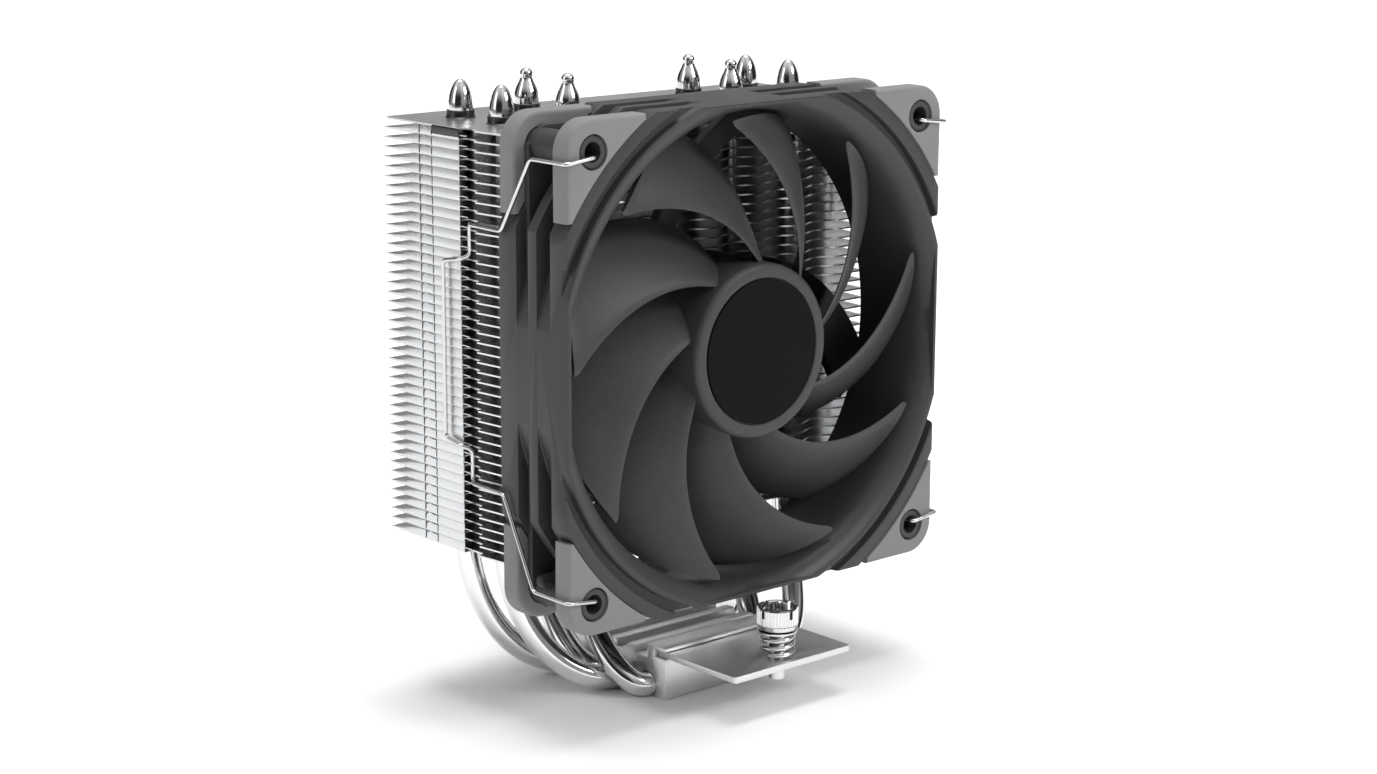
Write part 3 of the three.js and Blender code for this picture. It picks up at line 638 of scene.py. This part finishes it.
def tip_profile(has_nib):
    """Heights from where the taper starts, and radii, of a pipe's sealed end."""
    if has_nib:
        return [(0.0, 3.0), (0.9, 2.95), (1.7, 2.78), (2.6, 2.45), (3.4, 2.08), (4.1, 1.74), (4.6, 1.54),
                (4.9, 1.46), (5.3, 1.5), (5.8, 1.56), (6.3, 1.5), (6.7, 1.3), (7.0, 0.98), (7.2, 0.6),
                (7.3, 0.2)]
    return [(0.0, 3.0), (0.9, 2.97), (1.8, 2.88), (2.8, 2.72), (3.8, 2.48), (4.8, 2.13), (5.6, 1.75),
            (6.2, 1.38), (6.6, 1.05), (6.85, 0.7), (7.0, 0.2)]


def build_pipe(number):
    node = f"heat_pipe_{number}"
    low, high = box_mm(node)
    base_y = low.y + PIPE_RADIUS
    tip_y = high.y - PIPE_RADIUS
    ends = {-1: -low.x - PIPE_RADIUS, 1: high.x - PIPE_RADIUS}
    outer_x = max(ends.values())
    nib_side = min(ends, key=ends.get)
    leg_middle = 90
    line = []
    for side in (-1, 1):
        tip_x = ends[side]
        outer = tip_x > outer_x - 1
        reach, rise = PIPE_OUTER_BEND if outer else PIPE_INNER_BEND
        start = (side * PIPE_BASE_EXIT, base_y, PIPE_AXIS_Z)
        leg = bend_points(start, (side * tip_x, tip_y, PIPE_LEG_START), reach, rise)
        radii = [PIPE_RADIUS] * len(leg)
        leg.append(Vector((side * tip_x, tip_y, leg_middle)))
        radii.append(PIPE_RADIUS)
        top = PIPE_NIB_TOP if side == nib_side else PIPE_CONE_TOP
        profile = tip_profile(side == nib_side)
        tube_top = top - profile[-1][0]
        for height, radius in profile:
            leg.append(Vector((side * tip_x, tip_y, tube_top + height)))
            radii.append(radius)
        line.append((leg, radii))
    path = line[0][0][::-1] + line[1][0]
    radii = line[0][1][::-1] + line[1][1]
    pipe = sweep(f"pipe_{number}", path, radii, PIPE_SIDES, 50)
    for vertex in pipe.data.vertices:
        vertex.co.z = max(vertex.co.z, 0)
    piece(pipe, "cooler", "pipe_nickel", node)


# ---------------------------------------------------------------- fins

def fin_outline(low, high):
    mouth_depth = 1.4
    bump_depth = 0.5
    cut_back = 1.2
    half = high.x
    behind_tab = half - 0.25
    groove_x = half - FIN_GROOVE_DEPTH
    wave = []
    steps = 12 * FIN_WAVES
    for i in range(steps // 2, steps + 1):
        share = i / steps
        depth = FIN_WAVE_DEPTH * (0.5 - 0.5 * math.cos(2 * math.pi * FIN_WAVES * share))
        wave.append((FIN_WAVE_REACH * (2 * share - 1), low.y + depth))
    right = wave[1:] + [
        (half - mouth_depth, low.y), (half - bump_depth, FIN_GROOVE_FROM - 1),
        (groove_x, FIN_GROOVE_FROM), (groove_x, FIN_TAB_FROM), (behind_tab, FIN_TAB_FROM),
        (behind_tab, high.y - 2 * cut_back), (half - 0.4 * cut_back, high.y - 0.8 * cut_back),
        (half - cut_back, high.y),
    ]
    return [wave[0]] + right + [(-x, y) for x, y in reversed(right)]


def fin_plate(name, tips, low, high, top):
    holes = [circle_points(x, y, FIN_HOLE, 24)[::-1] for x, y in tips]
    return [slab(name, [fin_outline(low, high), *holes], top - FIN_THICK, top)]


def folded_tab(name, crest, top, x_outer, side, direction=1):
    """A strip folded off a fin's side edge. The crest gives (y, height); the fold has a small radius."""
    levels = [(-0.38, 0.42), (-0.3, 0.16), (-0.12, 0.02), (0.0, 0.0)]
    shares = [(0.5, 0.02), (1.0, 0.14)]
    rows = []
    for y, height in crest:
        outer = [(inset, direction * z) for z, inset in levels]
        outer += [(inset, direction * height * share) for share, inset in shares]
        inner = [(inset + FIN_TAB_THICK, z) for inset, z in reversed(outer)]
        rows.append([(side * (x_outer - inset), y, top + z) for inset, z in outer + inner])
    count = len(rows[0])
    verts = [point for row in rows for point in row]
    faces = [list(range(count)), [(len(rows) - 1) * count + i for i in range(count)][::-1]]
    for k in range(len(rows) - 1):
        for i in range(count):
            n = (i + 1) % count
            faces.append((k * count + i, (k + 1) * count + i, (k + 1) * count + n, k * count + n))
    return mesh_object(name, verts, faces, 40)


def side_tabs(low, high, top):
    """The folded tabs of a fin on both sides: a long pointed one, a short one and a closed wall."""
    rear = high.y - 0.2
    pointed = [(rear, 0.04), (33.5, 0.62), (29.5, 1.2), (25.5, 1.66), (23.1, 1.86)]
    short = [(22.6, 1.3), (21.6, 1.85), (20.9, 1.9), (20.1, 1.7), (18.25, 1.66)]
    wall = [(FIN_TAB_TO, FIN_TAB_HEIGHT), (FIN_TAB_FROM, FIN_TAB_HEIGHT)]
    parts = []
    for side in (-1, 1):
        parts.append(folded_tab("tab", pointed, top, high.x, side))
        parts.append(folded_tab("tab", short, top, high.x, side))
        parts.append(folded_tab("tab", wall, top, high.x - 0.12, side))
        xs = sorted((side * (high.x - 0.25), side * (high.x - 0.55)))
        tongue = [(FIN_TAB_FROM + 0.2, top + 0.7), (FIN_TAB_FROM + 0.2, top + 0.9), (4.7, top + 0.88),
                  (4.7, top + 0.7)]
        parts.append(prism("tongue", tongue, xs[0], xs[1], "X"))
    return parts


def build_fins():
    low, high = box_mm("fin_pair_01")
    tips = []
    for number in (1, 2, 3, 4):
        pipe_low, pipe_high = box_mm(f"heat_pipe_{number}")
        tip_y = pipe_high.y - PIPE_RADIUS
        tips.append((pipe_low.x + PIPE_RADIUS, tip_y))
        tips.append((pipe_high.x - PIPE_RADIUS, tip_y))
    parts = []
    for top in (0, -FIN_PITCH):
        parts += fin_plate("fin", tips, low, high, top) + side_tabs(low, high, top)
    pair = join("fins", parts)
    shared = pair.data
    bpy.data.objects.remove(pair)
    for index in range(1, FIN_PAIRS):
        node = f"fin_pair_{index:02d}"
        top = box_mm(node)[1].z
        obj = bpy.data.objects.new(f"fins_{index:02d}", shared)
        bpy.context.scene.collection.objects.link(obj)
        obj.location = (0, 0, top * MM)
        piece(obj, "cooler", "fin_aluminium", node)
    build_top_fins(tips)


def build_top_fins(tips):
    """The top pair: its upper fin has its side edges folded down, and a punched collar round each pipe."""
    node = f"fin_pair_{FIN_PAIRS:02d}"
    low, high = box_mm(node)
    second = high.z - FIN_PITCH
    parts = fin_plate("top_fin", tips, low, high, high.z) + fin_plate("second_fin", tips, low, high, second)
    parts += side_tabs(low, high, second)
    piece(join("fins_top", parts), "cooler", "fin_aluminium", node)
    drop = FIN_PITCH - FIN_THICK - 0.1
    bands = []
    for side in (-1, 1):
        crest = [(FIN_TAB_TO, drop), (FIN_TAB_FROM, drop)]
        bands.append(folded_tab("band", crest, high.z - FIN_THICK, high.x, side, -1))
    for x, y in tips:
        inner = FIN_HOLE - 0.03
        outer = FIN_HOLE + COLLAR_WALL
        root = outer + 0.35
        rim = high.z + 1.85
        profile = [(inner, high.z - 0.2), (root, high.z - 0.2), (root, high.z + 0.02),
                   (outer + 0.08, high.z + 0.3), (outer, high.z + 0.8), (outer, high.z + 1.75),
                   (outer - 0.1, rim), (inner, rim)]
        bands.append(move_mesh(lathe("collar", profile, 40, True), placed(x, y, 0)))
    # The band and the collars take the darker metal: painted shade and painted reflection, not a different
    # colour of their own.
    piece(join("top_fin_folds", bands), "cooler", "fin_aluminium", material=PAINTED_FOLD_SHADE)


# ---------------------------------------------------------------- fan frame and pads

FAN_CENTRE = middle("fan_frame")
FAN_HALF_DEPTH = (box_mm("fan_frame")[1].y - box_mm("fan_frame")[0].y) / 2
FAN_HALF = (box_mm("fan_frame")[1].x - box_mm("fan_frame")[0].x) / 2
POST_REACH = 52.5
FAN_PLACE = placed(*FAN_CENTRE) @ Matrix.Rotation(math.radians(90), 4, "X")


def to_fan(obj):
    """From the fan's own frame, where +Z is the intake side, to the part's frame."""
    return move_mesh(obj, FAN_PLACE)


def cut_corner_square(half, radius, steps=10):
    reach = math.degrees(math.acos(half / radius))
    points = []
    for quarter in range(4):
        points.extend(circle_points(0, 0, radius, steps, quarter * 90 + reach, (quarter + 1) * 90 - reach))
    return points


def frame_profile():
    """The frame's section as (radius, height): bore, intake lip, groove, ridge, flanges and rib."""
    half = FAN_HALF_DEPTH
    far = 90.0
    bore = [(BORE_RADIUS, -half + 0.5), (BORE_RADIUS, 5.5), (57.75, 7.5), (58.3, 9.2), (59.2, 10.7),
            (60.3, 11.7), (61.5, 12.3)]
    lip = [(61.9, half), (62.9, half), (63.3, half - 0.3), (63.4, half - 2.3), (65.5, half - 2.3),
           (65.7, half - 0.6), (66.0, half - 0.35), (far, half - 0.35)]
    sides = [(far, 6.3), (61.2, 6.1), (BARREL_RADIUS, 5.8), (BARREL_RADIUS, 1.5), (61.3, 1.2), (far, 1.2),
             (far, -1.9), (61.3, -1.9), (BARREL_RADIUS, -2.2), (BARREL_RADIUS, -5.9), (61.3, -6.2),
             (far, -6.2), (far, -half), (58.0, -half)]
    return bore + lip + sides


def chamfered_square(half, cut):
    points = []
    for x, y in [(1, 1), (-1, 1), (-1, -1), (1, -1)]:
        pair = [(x * half, y * (half - cut)), (x * (half - cut), y * half)]
        points.extend(pair if x * y > 0 else pair[::-1])
    return points


def add_corner_posts(body):
    """Two plates and a drilled round post in each corner, between the frame's flanges."""
    half = FAN_HALF_DEPTH
    reach = half + 1
    plate_near = 5.0
    plate_far = 6.5
    inset = 2.9
    cut = 4.4
    keep_out = BORE_RADIUS + 1.5
    for low, high in ((plate_near, plate_far), (-plate_far, -plate_near)):
        plate = slab("corner_plate", [chamfered_square(FAN_HALF - inset, cut)], low, high, 0.2)
        profile = [(0, -reach), (keep_out, -reach), (keep_out, reach), (0, reach)]
        combine(plate, lathe("bore", profile, FRAME_SIDES), "DIFFERENCE")
        combine(body, plate, "UNION")
    rim = 0.35
    post_top = half - 0.3
    profile = [
        (0, -post_top), (POST_RADIUS - rim, -post_top), (POST_RADIUS, rim - post_top),
        (POST_RADIUS, post_top - rim), (POST_RADIUS - rim, post_top), (0, post_top),
    ]
    drill = [(0, -reach), (POST_HOLE, -reach), (POST_HOLE, reach), (0, reach)]
    for outline, sides, operation in ((profile, 40, "UNION"), (drill, 32, "DIFFERENCE")):
        for x, y in ((1, 1), (-1, 1), (-1, -1), (1, -1)):
            post = lathe("post", outline, sides)
            combine(body, move_mesh(post, placed(x * POST_REACH, y * POST_REACH, 0)), operation)


def build_frame():
    half = FAN_HALF_DEPTH
    body = lathe("frame", frame_profile(), FRAME_SIDES, True)
    reach = 19.5
    wall_from = 7.0
    inner = FAN_HALF - 0.85
    outer = FAN_HALF + 8
    outline = [(inner, -reach), (outer, -reach), (outer, reach), (inner, reach)]
    walls = []
    for turn in range(4):
        for low, high in ((wall_from, half), (-half, -wall_from)):
            wall = prism("side_wall", outline, low, high)
            walls.append(move_mesh(wall, Matrix.Rotation(math.radians(turn * 90), 4, "Z")))
    combine(body, join("side_walls", walls), "UNION")
    square = prism("square", cut_corner_square(FAN_HALF, PAD_ARC - 0.2), -half - 1, half + 1)
    combine(body, square, "INTERSECT")
    bevel(body, 0.25, 2, 50)
    add_corner_posts(body)
    peg_y = -49
    peg_z = -1
    peg_line = [(x, peg_y, peg_z) for x in (-52, -57.2, -58.0, -58.4)]
    peg = sweep("peg", peg_line, [1.6, 1.6, 1.3, 0.6], 20)
    frame_piece = join("fan_housing", [body, build_spider(), peg])
    piece(to_fan(frame_piece), "cooler", "frame_plastic", "fan_frame")


def strut_points(steps=16):
    """A strut's middle line from motor plate to bore, swept clockwise as seen from the intake."""
    control = []
    for radius, angle in STRUT_CONTROL:
        turn = math.radians(angle)
        control.append(Vector((radius * math.cos(turn), radius * math.sin(turn))))
    line = []
    for i in range(steps + 1):
        t = i / steps
        line.append((1 - t) ** 2 * control[0] + 2 * t * (1 - t) * control[1] + t * t * control[2])
    return line


def build_spider():
    """Four curved struts that carry the motor plate and its bearing tube. One is wider, for the lead."""
    half = FAN_HALF_DEPTH
    rear = -half + 0.6
    plate_radius = 21.6
    profile = [
        (0, rear), (plate_radius - 0.4, rear), (plate_radius, rear + 0.4), (plate_radius, rear + 1.4),
        (plate_radius - 0.4, rear + 1.8), (5.2, rear + 1.8), (5.2, 6.5), (3.6, 6.5),
        (3.6, rear + 1.2), (0, rear + 1.2),
    ]
    parts = [lathe("motor_plate", profile, 72)]
    line = strut_points()
    half_width = 3.1
    lead_width = 9.2
    thick = 3.0
    reach = BORE_RADIUS + 1.9
    for index in range(STRUTS):
        lower = lead_width if index == 0 else half_width
        left = []
        right = []
        for i, point in enumerate(line):
            tangent = (line[min(i + 1, len(line) - 1)] - line[max(i - 1, 0)]).normalized()
            normal = Vector((-tangent.y, tangent.x))
            left.append(tuple(point + normal * half_width))
            right.append(tuple(point - normal * lower))
        left = [p for p in left if math.hypot(*p) < reach]
        right = [p for p in right if math.hypot(*p) < reach]
        strut = slab("strut", [right + left[::-1]], rear, rear + thick, 0.4)
        move_mesh(strut, Matrix.Rotation(math.radians(index * 360 / STRUTS), 4, "Z"))
        parts.append(strut)
    return join("spider", parts)


def pad_outline():
    corner = 7.5
    end = math.degrees(math.asin(PAD_LEG / PAD_ARC))
    inner = FAN_HALF - corner
    points = [(FAN_HALF, PAD_LEG)]
    points += circle_points(inner, inner, corner, 14, 0, 90)
    points += [(PAD_LEG, FAN_HALF)]
    points += circle_points(0, 0, PAD_ARC, 22, end, 90 - end)[::-1]
    return points


def soft_pad(name, low, high):
    """A rubber corner pad: well rounded along its outer edges and only slightly along its arc."""
    pad = prism(name, pad_outline(), low, high)
    bm = bmesh.new()
    bm.from_mesh(pad.data)
    weights = bm.edges.layers.float.new("bevel_weight_edge")
    for edge in bm.edges:
        a, b = (v.co / MM for v in edge.verts)
        if abs(a.z - b.z) > 0.1:
            continue
        on_arc = all(abs(math.hypot(p.x, p.y) - PAD_ARC) < 0.1 for p in (a, b))
        edge[weights] = 0.3 if on_arc else 1.0
    for edge in bm.edges:
        a, b = (v.co / MM for v in edge.verts)
        across = abs((a.x - b.x) * (a.y - b.y)) < 1e-3 and abs(a.z - b.z) < 0.1
        if across and (a - b).length < 1.6 and min(a.x, a.y) < PAD_LEG + 0.1:
            edge[weights] = 0.3
    bm.to_mesh(pad.data)
    bm.free()
    modifier = pad.modifiers.new("bevel", "BEVEL")
    modifier.width = 1.0 * MM
    modifier.segments = 4
    modifier.limit_method = "WEIGHT"
    modifier.use_clamp_overlap = False
    apply_modifiers(pad)
    reach = FAN_HALF_DEPTH + 2
    ring = POST_RADIUS + 0.25
    hole = lathe("hole", [(0, -reach), (ring, -reach), (ring, reach), (0, reach)], 48)
    return combine(pad, move_mesh(hole, placed(POST_REACH, POST_REACH, 0)), "DIFFERENCE")


def build_pads():
    half = FAN_HALF_DEPTH
    corners = ["top_right", "top_left", "bottom_left", "bottom_right"]
    for i, corner in enumerate(corners):
        for end, low, high in (("front", half - PAD_THICK, half), ("rear", -half, PAD_THICK - half)):
            pad = soft_pad(f"{end}_rubber_{corner}", low, high)
            move_mesh(pad, Matrix.Rotation(math.radians(90 * i), 4, "Z"))
            piece(to_fan(pad), "cooler", "pad_rubber", f"{end}_pad_{corner}")


# ---------------------------------------------------------------- impeller

def blade_point(u, v, side):
    """u runs along the chord from the leading edge, v from root to tip, side is -1 or 1."""
    radius = BLADE_ROOT_RADIUS + (BLADE_TIP_RADIUS - BLADE_ROOT_RADIUS) * v
    front = BLADE_FRONT[0] + (BLADE_FRONT[1] - BLADE_FRONT[0]) * v
    rear = BLADE_REAR[0] + (BLADE_REAR[1] - BLADE_REAR[0]) * v
    corner = max(v - (1 - BLADE_TIP_ROUND), 0) / BLADE_TIP_ROUND
    lag = 1.6 * corner ** 2.5
    chord = BLADE_CHORD - 1.2 * corner ** 2 - lag
    angle = math.radians(BLADE_SWEEP * v ** BLADE_SWEEP_POWER - lag - chord * u)
    bow = BLADE_BOW * math.sin(math.pi * u)
    edge = min(u, 1 - u)
    rounding = min(1.0, math.sqrt(max(edge, 0) / BLADE_EDGE))
    thickness = BLADE_THICK * rounding * (1 - BLADE_THINNING * u)
    z = front + (rear - front) * u + bow + side * thickness / 2
    return radius * math.cos(angle), radius * math.sin(angle), z


def build_blade(index):
    chord_steps = 18
    span_steps = 22
    verts = []
    shares = [0.5 - 0.5 * math.cos(math.pi * i / chord_steps) for i in range(chord_steps + 1)]
    loop = [(u, 1) for u in shares] + [(u, -1) for u in reversed(shares[1:-1])]
    for k in range(span_steps + 1):
        v = 1 - (1 - k / span_steps) ** 1.6
        verts.extend(blade_point(u, v, side) for u, side in loop)
    count = len(loop)
    faces = []
    for k in range(span_steps):
        for i in range(count):
            n = (i + 1) % count
            faces.append((k * count + i, k * count + n, (k + 1) * count + n, (k + 1) * count + i))
    faces.append(list(range(count))[::-1])
    faces.append([span_steps * count + i for i in range(count)])
    blade = mesh_object("blade", verts, faces, 40)
    turn = BLADE_PHASE + 360 / BLADES * index
    return move_mesh(blade, Matrix.Rotation(math.radians(turn), 4, "Z"))


def build_rotor():
    front = 12.2
    recess = 0.6
    rear = -8.4
    wall = 1.5
    face = 2.2
    inner = HUB_RADIUS - wall
    boss = 3.4
    shaft = 1.8
    boss_rear = front - face - 3.5
    profile = [
        (0, front - recess), (DISC_RADIUS + 0.25, front - recess), (DISC_RADIUS + 0.3, front - 0.2),
        (DISC_RADIUS + 0.5, front), (HUB_RADIUS - 1.5, front), (HUB_RADIUS - 0.9, front - 0.12),
        (HUB_RADIUS - 0.4, front - 0.45), (HUB_RADIUS - 0.1, front - 1.0), (HUB_RADIUS, front - 1.6),
        (HUB_RADIUS, rear + 0.3), (HUB_RADIUS - 0.3, rear), (inner, rear), (inner, front - face),
        (boss, front - face), (boss, boss_rear), (shaft, boss_rear),
        (shaft, front - face), (0, front - face),
    ]
    parts = [lathe("hub", profile, 96)]
    for index in range(BLADES):
        parts.append(build_blade(index))
    rotor = join("rotor_blades", parts, 36)
    piece(to_fan(rotor), "rotor", "blade_plastic", "impeller")

    edge = 0.12
    disc_rear = front - recess + 0.05
    profile = [
        (0, disc_rear), (DISC_RADIUS, disc_rear), (DISC_RADIUS, front - edge),
        (DISC_RADIUS - edge, front), (0, front),
    ]
    disc = lathe("hub_label_disc", profile, 96)
    piece(to_fan(disc), "rotor", "hub_label", "hub_disc")


def finish_motor():
    slots = {
        "rotor_yoke": "motor_steel", "magnet_ring": "magnet_ferrite", "shaft": "motor_steel",
        "bearing_sleeve": "bearing_brass", "stator": "winding_copper", "circuit_board": "board_green",
    }
    for node, slot in slots.items():
        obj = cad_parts[node]
        obj.data.materials.clear()
        obj.data.materials.append(FINISHES[slot])


# ---------------------------------------------------------------- wire clips

def build_clip(name, side):
    """One bent wire: its ends enter the fan's holes and its handle hooks in the fins' side groove."""
    low, high = box_mm(f"{name}_wire_clip")
    side_x = max(abs(low.x), abs(high.x)) - WIRE_RADIUS
    front_y = low.y + WIRE_RADIUS
    handle_y = high.y - WIRE_RADIUS
    hole_depth = 3.2
    hole_z = POST_REACH - 1
    corner_z = 50.5
    bend_y = -20.5
    arm_y = -9.5
    arm_z = 31
    sill_x, sill_y = 60.6, 2.6
    hook_x, hook_y = 59.1, 4.8
    hook_z = 23.4
    exit_y = 6.6
    handle_z = 21.4
    lift = 1.7
    ends = [
        (POST_REACH, front_y + hole_depth, hole_z), (POST_REACH, front_y, hole_z),
        (side_x, front_y, corner_z), (side_x, bend_y, corner_z),
    ]
    arm = [
        (side_x, arm_y, arm_z), (sill_x, sill_y, arm_z), (hook_x, hook_y, arm_z),
        (hook_x, hook_y, hook_z), (side_x, exit_y, handle_z + 1), (side_x, handle_y, handle_z),
    ]
    corners = ends + [(x, y, z + lift) for x, y, z in arm]
    corners += [(x, y, lift - z) for x, y, z in reversed(arm)]
    corners += [(x, y, -z) for x, y, z in reversed(ends)]
    points = [(side * x, y, FAN_CENTRE.z + z) for x, y, z in corners]
    wire = sweep(f"{name}_clip", rounded_corners(points, 1.2, 6), WIRE_RADIUS, 14)
    piece(wire, f"{name}_clip", "spring_wire", f"{name}_wire_clip")


# ---------------------------------------------------------------- floor, lights and camera

def area_light(name, place, target, size, power, colour=(1, 1, 1)):
    light = bpy.data.lights.new(name, "AREA")
    light.shape = "RECTANGLE"
    light.size = size[0]
    light.size_y = size[1]
    light.energy = power
    light.color = colour
    obj = bpy.data.objects.new(name, light)
    obj.location = place
    obj.rotation_euler = (Vector(target) - Vector(place)).to_track_quat("-Z", "Y").to_euler()
    bpy.context.scene.collection.objects.link(obj)


def pale_paper(name):
    return finish(name, (0.93, 0.93, 0.93), 0, 0.75, 0.04, 0.006, 3, 400, 0.02)


def build_surroundings():
    reach = 3000
    corners = [(-reach, -reach, 0), (reach, -reach, 0), (reach, reach, 0), (-reach, reach, 0)]
    floor = mesh_object("floor", corners, [(0, 1, 2, 3)])
    floor.location.z = -0.0001
    floor.data.materials.append(pale_paper("floor_paper"))
    build_backdrop(0.96 * reach)
    build_sky()
    centre = (0, 0, 0.08)
    area_light("front", (0.55, -1.1, 0.85), centre, (0.6, 0.4), 9)
    area_light("left", (-1.2, 0.35, 0.60), centre, (0.5, 0.8), 2.2)
    sun = bpy.data.lights.new("overhead", "SUN")
    sun.energy = 2.2
    sun.angle = math.radians(34)
    direction = Vector((-0.10, -0.12, -1))
    overhead = bpy.data.objects.new("overhead", sun)
    overhead.rotation_euler = direction.to_track_quat("-Z", "Y").to_euler()
    bpy.context.scene.collection.objects.link(overhead)


def build_backdrop(radius):
    """A pale round wall at the floor's edge, left out of the lighting and the reflections."""
    wall = lathe("backdrop", [(radius, 0), (radius, radius)], 96)
    wall.data.flip_normals()
    paper = pale_paper("backdrop_paper")
    shader = paper.node_tree.nodes["Principled BSDF"]
    shader.inputs["Emission Color"].default_value = (1, 1, 1, 1)
    shader.inputs["Emission Strength"].default_value = 0.8
    wall.data.materials.append(paper)
    wall.visible_diffuse = False
    wall.visible_glossy = False
    wall.visible_transmission = False
    wall.visible_shadow = False


def build_sky():
    """A soft studio: bright overhead, dim at the horizon, with darker upright bands between the lights."""
    world = bpy.data.worlds.new("studio")
    world.use_nodes = True
    nodes = world.node_tree.nodes
    links = world.node_tree.links
    background = nodes["Background"]
    background.inputs["Color"].default_value = (1, 1, 1, 1)
    place = nodes.new("ShaderNodeTexCoord")
    split = nodes.new("ShaderNodeSeparateXYZ")
    links.new(place.outputs["Generated"], split.inputs[0])
    height = nodes.new("ShaderNodeMapRange")
    height.interpolation_type = "SMOOTHSTEP"
    height.inputs["From Min"].default_value = 0.25
    height.inputs["From Max"].default_value = 0.85
    height.inputs["To Min"].default_value = 0.0
    height.inputs["To Max"].default_value = 0.62
    links.new(split.outputs["Z"], height.inputs["Value"])
    turn = nodes.new("ShaderNodeMath")
    turn.operation = "ARCTAN2"
    links.new(split.outputs["Y"], turn.inputs[0])
    links.new(split.outputs["X"], turn.inputs[1])
    bands = nodes.new("ShaderNodeMath")
    bands.operation = "MULTIPLY"
    bands.inputs[1].default_value = 3.0
    links.new(turn.outputs[0], bands.inputs[0])
    wave = nodes.new("ShaderNodeMath")
    wave.operation = "SINE"
    links.new(bands.outputs[0], wave.inputs[0])
    horizon = nodes.new("ShaderNodeMapRange")
    horizon.interpolation_type = "SMOOTHSTEP"
    horizon.inputs["From Min"].default_value = -0.4
    horizon.inputs["From Max"].default_value = 0.4
    horizon.inputs["To Min"].default_value = 0.02
    horizon.inputs["To Max"].default_value = 0.30
    links.new(wave.outputs[0], horizon.inputs["Value"])
    total = nodes.new("ShaderNodeMath")
    total.operation = "ADD"
    links.new(height.outputs["Result"], total.inputs[0])
    links.new(horizon.outputs["Result"], total.inputs[1])
    links.new(total.outputs[0], background.inputs["Strength"])
    bpy.context.scene.world = world


def build_camera():
    camera = bpy.data.cameras.new("camera")
    camera.lens = CAMERA_LENS
    camera.sensor_width = 36
    camera.clip_start = 0.01
    camera.dof.use_dof = False
    obj = bpy.data.objects.new("camera", camera)
    azimuth = math.radians(CAMERA_AZIMUTH)
    elevation = math.radians(CAMERA_ELEVATION)
    roll = math.radians(CAMERA_ROLL)
    back = Vector((math.sin(azimuth) * math.cos(elevation), -math.cos(azimuth) * math.cos(elevation),
                   math.sin(elevation)))
    right = (-back).cross(Vector((0, 0, 1))).normalized()
    up = back.cross(right)
    turned_right = math.cos(roll) * right + math.sin(roll) * up
    turned_up = -math.sin(roll) * right + math.cos(roll) * up
    obj.matrix_world = Matrix((turned_right, turned_up, back)).transposed().to_4x4()
    obj.location = CAMERA_PLACE
    bpy.context.scene.collection.objects.link(obj)
    bpy.context.scene.camera = obj


build_base()
build_plates()
build_spring_screw("front", -1)
build_spring_screw("rear", 1)
for pipe_number in (1, 2, 3, 4):
    build_pipe(pipe_number)
build_fins()
build_frame()
build_pads()
build_rotor()
finish_motor()
build_clip("left", -1)
build_clip("right", 1)
build_surroundings()
build_camera()
bpy.context.scene.view_settings.view_transform = "Standard"
